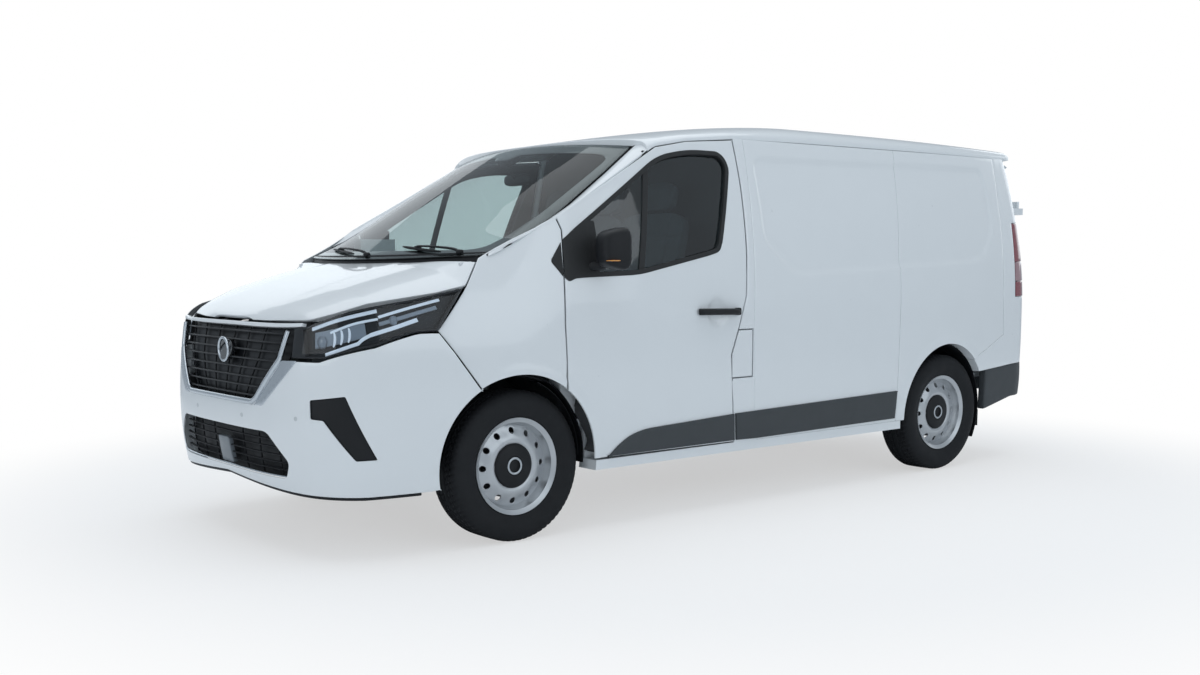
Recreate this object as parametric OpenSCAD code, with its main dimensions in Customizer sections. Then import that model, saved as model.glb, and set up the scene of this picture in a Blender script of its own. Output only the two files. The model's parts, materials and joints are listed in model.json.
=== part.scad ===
// Mid-size panel van: short wheelbase, low roof, twin rear doors, sliding side door on the right.
// Millimetres. +Z is up, the van's front faces -Y and its left side is +X.
// The origin is on the ground, under the middle of the van's length and width.
// Body panels are drawn at the van's styled size and then stretched by mx(), my() and mz()
// to the overall sizes below. Wheels, walls, gaps and hinges keep their own sizes.

/* [Overall] */
// Width of the body over the door skins
body_w = 1956; // [1630:2:2350]
// Height of the roof above the ground
van_h = 1971; // [1640:1:2370]
// Distance between the axles
wheelbase = 3098; // [2580:2:3720]
// From the front axle to the front of the bumper
front_overhang = 1014; // [845:1:1220]
// From the rear axle to the back of the bumper
rear_overhang = 968; // [806:1:1165]
// Width over the door mirrors
mirror_span = 2283; // [2200:1:2740]

/* [Wheels] */
// Outer diameter of a tyre
tyre_d = 686; // [570:1:730]
// Width of a tyre
tyre_w = 215; // [179:1:258]
// Diameter of the rim over its flanges
rim_d = 440; // [366:1:528]
// From the side of the body to the middle of a front wheel
wheel_inset_f = 170; // [141:0.5:204]
// From the side of the body to the middle of a rear wheel
wheel_inset_r = 164; // [137:0.5:197]
// Radius of a wheel arch in the side of the body
arch_r = 400; // [385:1:480]

/* [Panels] */
// Thickness of the load space's walls
wall_t = 60; // [50:1:72]
// Thickness of the roof
roof_t = 34; // [28:1:41]
// Thickness of the outer skin of a door
skin_t = 16; // [13:0.5:19]
// Thickness of a front door below its window
door_t = 92; // [77:1:110]
// Thickness of a rear door
rear_door_t = 52; // [43:1:62]
// Thickness of the bumpers and the wings
cover_t = 24; // [20:1:29]
// Thickness of the glass
glass_t = 5; // [4:0.5:6]
// Width of a shut line
gap = 7; // [6:0.5:9]
// Clearance between pieces that rest against each other
fit = 0.3; // [0.2:0.05:0.5]

/* [Doors and steering] */
// How far a front door's hinge pin is behind the door's front edge
door_pin_back = 55; // [46:1:66]
// How far the pin of a rear door stands behind the body
rear_pin_out = 15; // [12.5:0.5:18]
// Diameter of the hinge pins
pin_d = 12; // [10:0.5:14]
// Radial clearance of a hinge pin
pin_play = 0.5; // [0.4:0.1:0.6]
// How far the steering axis is inboard of the wheel's middle, at hub height
king_offset = 60; // [50:1:66]
// Lean of the steering axis
king_lean = 12; // [10:0.5:13]
// Diameter of the steering wheel
steer_d = 385; // [321:1:462]
// Rake of the steering column above the horizontal
column_rake = 28; // [24:1:33]

/* [Load space and seats] */
// Height of the load floor above the ground
floor_z = 552; // [530:1:600]
// Thickness of the floor
floor_t = 36; // [30:1:43]
// Diameter of the tow bar's bolt holes in the rear rails
tow_hole_d = 13; // [11:0.5:15.5]
// Spacing of the tow bar's bolt holes along a rail
tow_pitch = 110; // [92:1:132]
// Width of a seat for one person
seat_w = 500; // [417:1:540]
// Height of a seat's back above its cushion
seat_back_h = 560; // [467:1:620]

/* [Hidden] */
$fn = 64;
// The styled size that the body's surfaces are drawn at.
styled_w = 1956;
styled_h = 1971;
styled_base = 3098;
styled_front = 1014;
styled_rear = 968;
styled_axle_f = -1526;
styled_axle_r = styled_axle_f + styled_base;
stretch_from = 0;
stretch_to = 1000;
waist_z = 950;

van_l = front_overhang + wheelbase + rear_overhang;
axle_f = -van_l / 2 + front_overhang;
axle_r = axle_f + wheelbase;
hub_z = tyre_d / 2;
wheel_x_f = body_w / 2 - wheel_inset_f;
wheel_x_r = body_w / 2 - wheel_inset_r;

function lerp(a, b, t) = a + (b - a) * t;
function clamp(v) = max(0, min(1, v));
function smooth(v) = let(c = clamp(v)) c * c * (3 - 2 * c);

// From the styled body to the driving sizes.
function mx(x) = x * body_w / styled_w;
function my(y) =
    y < styled_axle_f ? axle_f + (y - styled_axle_f) * front_overhang / styled_front
    : y < stretch_from ? axle_f + y - styled_axle_f
    : y < stretch_to ? lerp(my_fixed(stretch_from), axle_r + stretch_to - styled_axle_r,
                            (y - stretch_from) / (stretch_to - stretch_from))
    : y < styled_axle_r ? axle_r + y - styled_axle_r
    : axle_r + (y - styled_axle_r) * rear_overhang / styled_rear;
function my_fixed(y) = axle_f + y - styled_axle_f;
function mz(z) = z < waist_z ? z : waist_z + (z - waist_z) * (van_h - waist_z) / (styled_h - waist_z);
function m(p) = [mx(p[0]), my(p[1]), mz(p[2])];
function m_side(points) = [for (p = points) [my(p[0]), mz(p[1])]];

// Value at v on a polyline of [v, value] pairs.
function on_line(line, v, i = 0) =
    i >= len(line) - 2 || v < line[i + 1][0]
    ? lerp(line[i][1], line[i + 1][1], (v - line[i][0]) / (line[i + 1][0] - line[i][0]))
    : on_line(line, v, i + 1);

// Half width of the side: upright below, leaning in above the waist, drawn in at nose and tail.
function upright(z) =
    styled_w / 2 - 156 * pow(max(z - 950, 0) / 900, 1.9) - 16 * pow(max(950 - z, 0) / 660, 2.2);
function nose_taper(y) = 33 * pow(max(-1200 - y, 0) / 558, 2.4);
function tail_taper(y) = 60 * pow(max(y - 1200, 0) / 1200, 2);
function shoulder(z) = 52 * pow(max(z - 850, 0) / 300, 1.6);
function side_x(y, z) =
    upright(z) - nose_taper(y) - tail_taper(y) - smooth((-1250 - y) / 400) * shoulder(z);

// The nose in plan is a cubic curve from the middle of the bumper to the side.
nose_y = styled_axle_f - styled_front;
nose_end_y = -1700;
nose_end_x = styled_w / 2 - nose_taper(nose_end_y);
nose_side_slope = 0.1217;
nose_plan = [[0, nose_y], [760, nose_y], [nose_end_x - nose_side_slope * 780, nose_end_y - 780],
             [nose_end_x, nose_end_y]];
function cubic(c, t) =
    c[0] * pow(1 - t, 3) + c[1] * 3 * t * pow(1 - t, 2) + c[2] * 3 * t * t * (1 - t) + c[3] * pow(t, 3);
// How far the nose lies back at a height, above and below its foremost line.
function nose_back(z) = 90 * pow(max(z - 560, 0) / 450, 1.9) + 40 * pow(max(560 - z, 0) / 260, 2);
function nose_in(z) = styled_w / 2 - upright(z) + shoulder(z);
// A point of the nose at u (0 at the middle, 1 where the side begins) and z.
function nose_point(u, z) =
    u <= 1
    ? let(p = cubic(nose_plan, u))
      [p[0] - smooth(u) * nose_in(z), p[1] + pow(1 - u, 1.2) * nose_back(z), z]
    : let(y = nose_end_y + (u - 1) * 1000) [side_x(y, z), y, z];
// The u at which the nose has half width x at height z.
function nose_u(x, z, lo = 0, hi = 1, steps = 18) =
    steps == 0 ? (lo + hi) / 2
    : let(mid = (lo + hi) / 2)
      nose_point(mid, z)[0] < x ? nose_u(x, z, mid, hi, steps - 1) : nose_u(x, z, lo, mid, steps - 1);
function nose_at(x, z) =
    let(p = nose_point(nose_u(abs(x), z), z)) [x, p[1], z];

// The rear face: rear doors, bumper and the rounded corners.
tail_y = styled_axle_r + styled_rear;
tail_r = 140;
function tail_edge_y(z) = 2440 - 45 * pow(max(z - 700, 0) / 1100, 1.2);
function tail_edge_x(z) = side_x(tail_edge_y(z) - tail_r, z) - tail_r;
function tail_face_y(x, z) = tail_edge_y(z) + 30 * (1 - pow(x / tail_edge_x(z), 2));

// Roof: height along the middle, and a squarish crown between the two cantrails.
roof_peak_y = 440;
function roof_mid_z(y) =
    styled_h - (y < roof_peak_y ? 129 * pow((roof_peak_y - y) / 1260, 1.55) : 28 * pow((y - roof_peak_y) / 2000, 2));
cantrail = [[-1345, 1430], [-655, 1797], [-445, 1834], [-122, 1858], [2300, 1862]];
function cantrail_z(y) = on_line(cantrail, y);
crown_n = 3.2;
function roof_z(x, y) =
    let(edge = side_x(y, cantrail_z(y)), s = min(0.9985, abs(x) / edge))
    cantrail_z(y) - 12 + (roof_mid_z(y) - cantrail_z(y) + 12) * pow(1 - pow(s, crown_n), 1 / crown_n);

// A closed shell: the surface f(a, b), a and b from 0 to 1, and its offset t inwards.
// The surface's outside is where the cross product of its a and b directions points.
module shell(f, nu, nv, t, out = 0) {
    d = 0.002;
    outer = [for (j = [0:nv], i = [0:nu]) offset_point(f, i / nu, j / nv, out, d)];
    inner = [for (j = [0:nv], i = [0:nu]) offset_point(f, i / nu, j / nv, -t, d)];
    n = len(outer);
    w = nu + 1;
    skin = [for (j = [0:nv - 1], i = [0:nu - 1])
        let(k = j * w + i) each [[k, k + w, k + w + 1], [k, k + w + 1, k + 1]]];
    back = [for (t3 = skin) [n + t3[2], n + t3[1], n + t3[0]]];
    rim_a = [for (i = [0:nu - 1]) each [[i, i + 1, n + i + 1], [i, n + i + 1, n + i]]];
    top = nv * w;
    rim_b = [for (i = [0:nu - 1])
        each [[top + i, n + top + i + 1, top + i + 1], [top + i, n + top + i, n + top + i + 1]]];
    rim_c = [for (j = [0:nv - 1])
        let(k = j * w) each [[k, n + k + w, k + w], [k, n + k, n + k + w]]];
    rim_d = [for (j = [0:nv - 1])
        let(k = j * w + nu) each [[k, k + w, n + k + w], [k, n + k + w, n + k]]];
    polyhedron(concat(outer, inner), concat(skin, back, rim_a, rim_b, rim_c, rim_d), convexity = 6);
}
function offset_point(f, a, b, r, d) =
    r == 0 ? m(f(a, b))
    : let(
        a0 = max(0, a - d), a1 = min(1, a + d), b0 = max(0, b - d), b1 = min(1, b + d),
        da = m(f(a1, b)) - m(f(a0, b)), db = m(f(a, b1)) - m(f(a, b0)),
        c = cross(da, db), u = c / norm(c))
      m(f(a, b)) + u * r;

// A slab of the left side between two y and two z lines, out proud of the skin and t deep.
// Its depth is measured straight across the van.
module side_slab(y0, y1, z0, z1, t, out = 0, nu = 8, nv = 10) {
    pts = [for (d = [out, -t], j = [0:nv], i = [0:nu])
        let(y = lerp(y0, y1, i / nu), z = lerp(z0, z1, j / nv)) m([side_x(y, z), y, z]) + [d, 0, 0]];
    w = nu + 1;
    n = w * (nv + 1);
    skin = [for (j = [0:nv - 1], i = [0:nu - 1])
        let(k = j * w + i) each [[k, k + w, k + w + 1], [k, k + w + 1, k + 1]]];
    back = [for (t3 = skin) [n + t3[2], n + t3[1], n + t3[0]]];
    top = nv * w;
    rims = [for (i = [0:nu - 1]) each [
                [i, i + 1, n + i + 1], [i, n + i + 1, n + i],
                [top + i, n + top + i + 1, top + i + 1], [top + i, n + top + i, n + top + i + 1]],
            for (j = [0:nv - 1]) let(k = j * w, e = j * w + nu) each [
                [k, n + k + w, k + w], [k, n + k, n + k + w],
                [e, e + w, n + e + w], [e, n + e + w, n + e]]];
    polyhedron(pts, concat(skin, back, rims), convexity = 6);
}

// An outline in [y, z], extruded across the left half of the van.
module across(points, x0 = 300, x1 = 1300) {
    translate([x0, 0, 0]) rotate([90, 0, 90]) linear_extrude(x1 - x0) polygon(points);
}
module across_inset(points, inset, x0 = 300, x1 = 1300) {
    translate([x0, 0, 0]) rotate([90, 0, 90]) linear_extrude(x1 - x0) offset(delta = -inset) polygon(points);
}
module across_disc(y, z, r, x0 = 300, x1 = 1300) {
    translate([x0, y, z]) rotate([0, 90, 0]) cylinder(h = x1 - x0, r = r);
}
module both_sides() {
    children();
    mirror([1, 0, 0]) children();
}
module box(lo, hi) {
    translate(lo) cube(hi - lo);
}

// Outlines of the left side in [y, z]: the middles of the shut lines.
door_line = m_side([[-1313, 1449], [-1291, 1390], [-1302, 1143], [-1306, 974], [-1296, 745], [-1296, 340],
    [-231, 340], [-242, 487], [-264, 784], [-216, 910], [-161, 1073], [-140, 1313], [-125, 1630],
    [-122, 1850], [-445, 1827], [-655, 1790]]);
window_line = m_side([[-1240, 1185], [-861, 1195], [-395, 1284], [-335, 1300], [-314, 1338], [-196, 1703],
    [-212, 1752], [-250, 1777], [-445, 1778], [-655, 1740], [-1240, 1377]]);
divider = m_side([[-856, 1180], [-830, 1180], [-706, 1790], [-732, 1790]]);
flap_line = m_side([[-216, 906], [-262, 784], [-258, 666], [-112, 666], [-114, 906]]);
pillar_line = m_side([[-122, 1858], [-125, 1630], [-140, 1313], [-161, 1073], [-216, 910], [-264, 784],
    [-242, 487], [-231, 337], [-64, 337], [-89, 501], [-107, 905], [-83, 1440], [-48, 1858]]);
panel_line = m_side([[-48, 1858], [-83, 1440], [-107, 905], [-89, 501], [-64, 337], [1537, 337],
    [1790, 610], [1816, 653], [2129, 785], [2110, 1031], [2144, 1619], [2177, 1861.5]]);
corner_line = m_side([[1790, 610], [1816, 653], [2129, 785], [2110, 1031], [2144, 1619], [2177, 1861],
    [2177, 2000], [2560, 2000], [2560, 610], [2341, 604], [1865, 574], [1750, 560]]);
wing_line = m_side([[-1650, 583], [-1934, 965], [-1770, 1152], [-1682, 1272], [-1560, 1330],
    [-1313, 1449], [-1291, 1390], [-1302, 1143], [-1306, 974], [-1296, 745], [-1296, 600]]);
slide_line = m_side([[-48, 1853], [-83, 1440], [-107, 905], [-89, 501], [-64, 341], [1080, 341],
    [1063, 500], [1063, 850], [1050, 1269], [1075, 1853]]);

// Wheel arches: their openings' centres and the liners behind them.
arch_y_f = axle_f - 15;
arch_y_r = axle_r - 35;
arch_z = 355;
liner_r = arch_r + 10;
liner_t = 6;
liner_side_f = 506;
liner_side_r = 628;
rail_z = 420;
sill_bottom = 291;
sill_top = 337;
panel_bottom = sill_top + fit;
inner_x = mx(styled_w / 2);
rocker_x = inner_x - door_t - 20;
liner_out_f = rocker_x;
tail_floor_y = my(tail_edge_y(700)) - rear_door_t - 12;
tow_x = 468;
tow_y = [tail_floor_y - 60 - tow_pitch, tail_floor_y - 60];

// ---------- Body structure ----------
module floor_pan() color("gainsboro") {
    difference() {
        union() {
            box([-rocker_x, my(-1120), floor_z - floor_t], [rocker_x, my(1950), floor_z]);
            box([-mx(780), my(1900), floor_z - floor_t], [mx(780), tail_floor_y, floor_z]);
            box([-liner_side_f + fit, my(-2330), floor_z - floor_t], [liner_side_f - fit, my(-1100), floor_z]);
            both_sides() {
                box([430, my(-2370), rail_z], [liner_side_f - fit, tail_floor_y, floor_z - floor_t + 1]);
                box([rocker_x - 36, my(-1116), sill_bottom], [rocker_x, my(1112), floor_z]);
                box([rocker_x - 30, my(-1134), sill_bottom], [inner_x - 16, my(1112), sill_top]);
            }
            box([-liner_side_f + fit, my(-2400), rail_z], [liner_side_f - fit, my(-2360), 590]);
        }
        // Engine bay between the front rails.
        box([-420, my(-2350), 300], [420, my(-1700), 800]);
        both_sides() {
            for (y = tow_y)
                translate([tow_x, y, rail_z - 1]) cylinder(h = 71, r = tow_hole_d / 2);
            across_disc(arch_y_r, arch_z, liner_r + liner_t + 2, liner_side_r - fit, 1400);
            across_disc(arch_y_f, arch_z, liner_r + liner_t + 2, liner_side_f + 1, 1400);
        }
    }
}

module liner(y, side_x0, side_x1, z_low) {
    difference() {
        across_disc(y, arch_z, liner_r + liner_t, side_x0, side_x1);
        across_disc(y, arch_z, liner_r, side_x0 + liner_t, side_x1 + 1);
        box([side_x0 - 1, y - 2 * arch_r, -arch_r], [side_x1 + 1, y + 2 * arch_r, z_low]);
        // The inner wall is open below the frame rails, where the axle passes.
        box([side_x0 - 1, y - 2 * arch_r, -arch_r], [side_x0 + liner_t + 1, y + 2 * arch_r, rail_z + 10]);
    }
}
module wheel_arch_liners() color("#202224") {
    both_sides() {
        liner(arch_y_f, liner_side_f, liner_out_f, 318);
        liner(arch_y_r, liner_side_r, mx(880), 318);
        // Mud flap behind the rear wheel.
        box([mx(740), arch_y_r + liner_r - 2, 232], [mx(900), arch_y_r + liner_r + liner_t - 1, 330]);
    }
}

hinge_z = [745, 1010];
door_pin_x = inner_x - skin_t - 16;
door_pin_y = my(-1302) + gap / 2 + door_pin_back;
knuckle_r = 10;
knuckle_h = 40;
post_foot_y = my(-1366);
module hinge_pillars() color("gainsboro") {
    both_sides() {
        difference() {
            union() {
                box([rocker_x - 90, door_pin_y - 12, floor_z + fit], [rocker_x, door_pin_y + 160, floor_z + 130]);
                box([rocker_x - 90, door_pin_y - 12, floor_z + 100], [rocker_x, door_pin_y + 90, mz(1380)]);
                // Forward arms under the windscreen post and behind the wing.
                box([rocker_x - 90, post_foot_y, mz(1290)], [rocker_x - 8, door_pin_y, mz(1380)]);
                box([rocker_x - 90, my(-1400), 1040], [rocker_x, door_pin_y, 1120]);
                intersection() {
                    side_slab(-2000, -1280, 560, 1500, 160, -cover_t - fit, 8, 10);
                    box([rocker_x - 40, my(-1400), 1040], [inner_x, my(-1350), 1120]);
                }
                for (z = hinge_z) {
                    box([rocker_x - 10, door_pin_y - 9, z], [door_pin_x, door_pin_y + 11, z + knuckle_h]);
                    translate([door_pin_x, door_pin_y, z]) cylinder(h = knuckle_h, r = knuckle_r);
                }
            }
            for (z = hinge_z)
                translate([door_pin_x, door_pin_y, z - 1]) cylinder(h = knuckle_h + 2, r = pin_d / 2 + pin_play);
            across_disc(arch_y_f, arch_z, liner_r + liner_t + fit);
        }
    }
}

// ---------- Side walls ----------
module b_pillars() color("white") {
    left_b_pillar(true);
    mirror([1, 0, 0]) left_b_pillar(false);
}
flap_pin_x = inner_x - 9;
flap_hinge_z = [735, 835];
flap_pin_y = my(-107) - 15;
module left_b_pillar(has_flap) {
    difference() {
        intersection() {
            side_slab(-300, -20, 320, 1864, wall_t, 0, 2, 12);
            across_inset(pillar_line, fit / 2);
        }
        across_inset(door_line, -gap / 2);
        across_inset(door_line, -gap / 2 - 14, 300, inner_x - skin_t - 4);
        if (has_flap) {
            across_inset(flap_line, -gap / 2, inner_x - 34, 1400);
        }
    }
    if (has_flap)
        difference() {
            union() {
                translate([flap_pin_x, flap_pin_y, flap_hinge_z[0]]) cylinder(h = flap_hinge_z[1] - flap_hinge_z[0], r = 5);
                box([inner_x - 36, flap_pin_y - 3, flap_hinge_z[0]], [flap_pin_x, flap_pin_y + 3, flap_hinge_z[1]]);
            }
            translate([flap_pin_x, flap_pin_y, 600]) cylinder(h = 400, r = 2.5 + pin_play);
        }
}
module side_panel_left() color("white") {
    difference() {
        intersection() {
            side_slab(-120, 2200, 320, 1864, wall_t, 0, 16, 12);
            across_inset(panel_line, fit / 2);
        }
        across_disc(arch_y_r, arch_z, arch_r, 700, 1400);
        recess();
    }
}
// Long pressed recess in the load space's side.
recess_depth = 9;
recess_line = m_side([[-2, 1758], [2012, 1780], [2030, 1430], [1900, 1262], [1770, 1237], [260, 1178],
    [190, 1197], [0, 1350]]);
module recess() {
    difference() {
        across(recess_line);
        side_slab(-300, 2300, 1000, 1864, 200, -recess_depth, 14, 8);
    }
}
module side_panel_right() color("white") {
    mirror([1, 0, 0]) difference() {
        intersection() {
            side_slab(-120, 2200, 320, 1864, wall_t, 0, 16, 12);
            across_inset(panel_line, fit / 2);
        }
        across_disc(arch_y_r, arch_z, arch_r, 700, 1400);
        across_inset(slide_line, -gap / 2);
        recess();
    }
}
module sliding_door() color("white") {
    mirror([1, 0, 0]) difference() {
        intersection() {
            side_slab(-120, 1100, 320, 1864, wall_t, 0, 8, 12);
            across_inset(slide_line, gap / 2);
        }
        recess();
    }
}

module wings() color("white") {
    both_sides() {
        difference() {
            union() {
                intersection() {
                    side_slab(-2000, -1280, 560, 1500, 4, 0, 8, 10);
                    across_inset(wing_line, gap / 2 + 0.6);
                }
                intersection() {
                    side_slab(-2000, -1280, 560, 1500, cover_t, -3, 8, 10);
                    across_inset(wing_line, gap / 2 + 34);
                }
            }
            across_disc(arch_y_f, arch_z, arch_r, 700, 1400);
        }
    }
}

// Corner posts that carry the tail lamps, wrapped round to the rear doors.
function corner_point(a, b) =
    let(
        z0 = 560,
        u = a * 2,
        edge = tail_edge_y(z0) - tail_r,
        top = 1860.5 + 22 * clamp((a - 0.74) / 0.26),
        z = lerp(z0, top, b),
        y1 = tail_edge_y(z) - tail_r)
    u <= 1
    ? let(y = lerp(1790, y1, u)) [side_x(y, z), y, z]
    : let(q = (u - 1) * 90) [side_x(y1, z) - tail_r + tail_r * cos(q), y1 + tail_r * sin(q), z];
rear_pin_x = mx(790);
rear_pin_y = my(2440) + rear_pin_out;
rear_hinge_z = [900, mz(1520)];
rear_leaf_in = [45, 100];
module rear_pillars() color("white") {
    both_sides() {
        difference() {
            union() {
                intersection() {
                    shell(function(a, b) corner_point(a, b), 16, 12, wall_t);
                    across_inset(corner_line, fit / 2, 300, 1400);
                }
                for (i = [0, 1]) {
                    translate([rear_pin_x, rear_pin_y, rear_hinge_z[i]]) cylinder(h = knuckle_h, r = knuckle_r);
                    box([rear_pin_x, rear_pin_y - rear_leaf_in[i], rear_hinge_z[i]],
                        [rear_pin_x + 36, rear_pin_y + 6, rear_hinge_z[i] + knuckle_h]);
                }
            }
            for (z = rear_hinge_z)
                translate([rear_pin_x, rear_pin_y, z - 1]) cylinder(h = knuckle_h + 2, r = pin_d / 2 + pin_play);
            across_disc(arch_y_r, arch_z, arch_r, 700, 1400);
            tail_lamp_pocket();
        }
    }
}
// Tall tail lamp set into the corner post.
lamp_low = 1013;
lamp_high = 1466;
lamp_depth = 30;
module tail_lamp_pocket() {
    box([mx(700), my(2255), lamp_low], [1400, my(2500), mz(lamp_high)]);
}
module tail_lamps() color("darkred") {
    both_sides() intersection() {
        shell(function(a, b) corner_point(a, b), 16, 12, wall_t - 20);
        box([mx(700) + fit, my(2255) + fit, lamp_low + fit], [1400, my(2500), mz(lamp_high) - fit]);
    }
}

// ---------- Roof, pillars and glass ----------
roof_front = [-830, -705];
roof_back_y = 2440;
ws_top_x = 758;
function roof_front_y(x) = lerp(roof_front[0], roof_front[1], pow(abs(x) / ws_top_x, 2.2));
function roof_point(a, b) =
    let(q = (a - 0.5) * 2,
        s = sin(87 * q),
        yf = roof_front_y(min(ws_top_x, abs(s) * 800)),
        y = lerp(yf, roof_back_y - 60 * s * s, b),
        x = s * side_x(y, cantrail_z(y)))
    [x, y, roof_z(x, y)];
rack_x = 620;
rack_y = [my(0), my(0) + 1600];
rack_hole_r = 4;
module roof() color("white") {
    difference() {
        shell(function(a, b) roof_point(a, b), 20, 18, roof_t);
        both_sides() across(concat(m_side([for (p = cantrail) [p[0], p[1] + 0.6]]), m_side([[2700, 1862.6], [2700, 1300], [-1345, 1300]])));
        // Threaded holes for a roof rack.
        both_sides() for (y = rack_y)
            translate([rack_x, y, mz(roof_z(rack_x, y)) - 20]) cylinder(h = 40, r = rack_hole_r);
    }
}

// Windscreen: its lower edge, top edge and side edge meet at the corners.
ws_low_y = [-1790, -1640];
function ws_point(a, b) =
    let(q = (a - 0.5) * 2,
        h = on_line([[0, 846], [0.2, 860], [0.45, 858], [0.75, 812], [1, 758]], b),
        mid_y = lerp(ws_low_y[0], roof_front[0], b),
        mid_z = lerp(1262, roof_mid_z(roof_front[0]) - 2, b) + 22 * sin(180 * b),
        edge_y = lerp(ws_low_y[1], roof_front[1], b),
        edge_z = on_line([[0, 1281], [0.22, 1358], [0.4, 1450], [1, 1803]], b),
        bend = pow(abs(q), 2.2))
    [q * h, lerp(mid_y, edge_y, bend), lerp(mid_z, edge_z, bend)];
ws_a = [0.012, 0.988];
ws_b = [0.015, 0.985];
module windscreen() color("#56666e", 0.5) {
    shell(function(a, b) ws_point(lerp(ws_a[0], ws_a[1], a), lerp(ws_b[0], ws_b[1], b)), 14, 10, glass_t);
}
// Sloping posts between the windscreen and the front doors.
post_outer = [[0, -1440], [0.2, -1313], [1, -655]];
function post_point(a, b) =
    let(inner = ws_point(1, b), y = on_line(post_outer, b),
        z = b < 0.2 ? lerp(1365, 1449, b / 0.2) : cantrail_z(y),
        outer = [side_x(y, z), y, z])
    [lerp(inner[0], outer[0], a), lerp(inner[1], outer[1], a), lerp(inner[2], outer[2], a) + 9 * sin(180 * a)];
module windscreen_pillars() color("white") {
    both_sides() difference() {
        union() {
            shell(function(a, b) post_point(lerp(0.02, 0.99, a), lerp(0.005, 0.945, b)), 5, 12, 38);
            // Flange that the windscreen's edge sits on.
            shell(function(a, b) ws_point(a < 0.6 ? lerp(ws_a[1] - (ws_a[1] - ws_a[0]) / 14, ws_a[1], 2 * a)
                                         : lerp(ws_a[1], 1.004, 2 * a - 1),
                                         lerp(ws_b[0], ws_b[1] - (ws_b[1] - ws_b[0]) / 10, b)),
                  2, 9, glass_t + fit + 10, -glass_t - fit - 0.6);
        }
        across_inset(door_line, -gap / 2 - 2);
        across_inset(wing_line, -1);
        box([rocker_x - 200, post_foot_y - fit, 0], [rocker_x - 8 + fit, my(-900), mz(1380) + fit]);
        box([rocker_x - 200, door_pin_y - 12 - fit, 0], [rocker_x + fit, my(-900), mz(1380) + fit]);
    }
}

// ---------- Nose ----------
bonnet_edge_x = [[-2452, 0], [-2450, 150], [-2440, 330], [-2378, 618], [-2300, 694], [-2180, 760], [-1900, 846],
    [-1767, 878], [-1682, 842]];
bonnet_edge_z = [[-2452, 1008], [-2440, 1008], [-2378, 1014], [-2180, 1080], [-1900, 1121], [-1767, 1151],
    [-1682, 1262]];
bonnet_y = [-2446, -1694];
function bonnet_top_z(y) = 1008 + 262 * pow((y + 2452) / 770, 0.62);
function bonnet_point(a, b) =
    let(q = (a - 0.5) * 2,
        side_y = lerp(bonnet_y[0], bonnet_y[1], b),
        x = q * (on_line(bonnet_edge_x, side_y) - 5 - 5 * smooth((b - 0.8) / 0.2)),
        y = side_y - 105 * smooth((b - 0.72) / 0.28) * (1 - pow(abs(q), 2.5)),
        top = bonnet_top_z(y),
        drop = bonnet_top_z(side_y) - on_line(bonnet_edge_z, side_y))
    [x, y, top - drop * pow(abs(q), 5)];
bonnet_t = 18;
bonnet_pin_y = my(-1664);
bonnet_pin_z = mz(1246);
bonnet_arm_x = 770;
arm_w = 14;
module bonnet() color("white") {
    shell(function(a, b) bonnet_point(a, b), 20, 16, bonnet_t);
    both_sides() {
        difference() {
            hull() {
                translate([mx(bonnet_arm_x), bonnet_pin_y, bonnet_pin_z]) rotate([0, 90, 0])
                    cylinder(h = arm_w, r = 9, $fn = 24);
                box([mx(bonnet_arm_x), bonnet_pin_y - 70, bonnet_pin_z - 14],
                    [mx(bonnet_arm_x) + arm_w, bonnet_pin_y - 66, bonnet_pin_z + 2]);
            }
        }
        translate([mx(bonnet_arm_x) - 1, bonnet_pin_y, bonnet_pin_z]) rotate([0, 90, 0])
            cylinder(h = arm_w + 22, r = pin_d / 2 - 1);
    }
}

// The bumper's upper edge, by half width: under the grille, along its blade, under the lamp.
bumper_top = [[0, 655], [352, 655], [545, 852], [730, 848], [862, 905], [912, 958], [960, 960]];
bumper_low = [[0, 322], [300, 306], [500, 296], [700, 284], [840, 276], [960, 284]];
function bumper_point(a, b, lift = 0) =
    let(q = (a - 0.5) * 2,
        u = abs(q) * 0.99,
        x0 = cubic(nose_plan, u)[0],
        z = lerp(on_line(bumper_low, x0), on_line(bumper_top, x0) + lift, b),
        p = nose_point(u, z))
    [p[0] * sign(q), p[1], z];
intake = [[-455, 545], [455, 545], [590, 420], [560, 350], [-560, 350], [-590, 420]];
module intake_prism(inset) {
    translate([0, my(-2200), 0]) rotate([90, 0, 0]) linear_extrude(my(-2200) - my(-2800))
        offset(delta = -inset) polygon([for (p = intake) [mx(p[0]), p[1]]]);
}
module front_bumper() color("white") {
    // Brackets to the front cross member.
    both_sides() box([320, my(-2514), 550], [400, my(-2400) - fit, 586]);
    difference() {
        shell(function(a, b) bumper_point(a, b), 32, 8, cover_t);
        intake_prism(0);
        both_sides() {
            across_disc(arch_y_f, arch_z, arch_r, 300, 1400);
            across_disc(arch_y_f, arch_z, liner_r + liner_t + fit, 300, liner_out_f + fit);
            across(m_side([[-1936, 965], [-1652, 583], [-1400, 583], [-1400, 1100]]));
        }
    }
}
grille_t = 20;
function grille_point(a, b) =
    let(z = lerp(645, 1000, b), h = on_line([[645, 360], [655, 370], [852, 549], [1000, 589]], z), x = (a - 0.5) * 2 * h, p = nose_at(x, z))
    [x, p[1] + 6, z];
function low_grille_point(a, b) =
    let(z = lerp(340, 555, b), x = (a - 0.5) * 2 * 610, p = nose_at(x, z))
    [x, p[1] + 4, z];
module grille() color("#17191b") {
    difference() {
        shell(function(a, b) grille_point(a, b), 12, 6, grille_t);
        shell(function(a, b) bumper_point(a, b, 3 * fit), 32, 8, cover_t + 20, 20);
    }
    intersection() {
        shell(function(a, b) low_grille_point(a, b), 12, 4, grille_t - 4);
        intake_prism(fit);
    }
}
lamp_lo = [[0.355, 866], [0.5, 862], [0.72, 925], [0.905, 1085], [0.955, 1148]];
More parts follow.
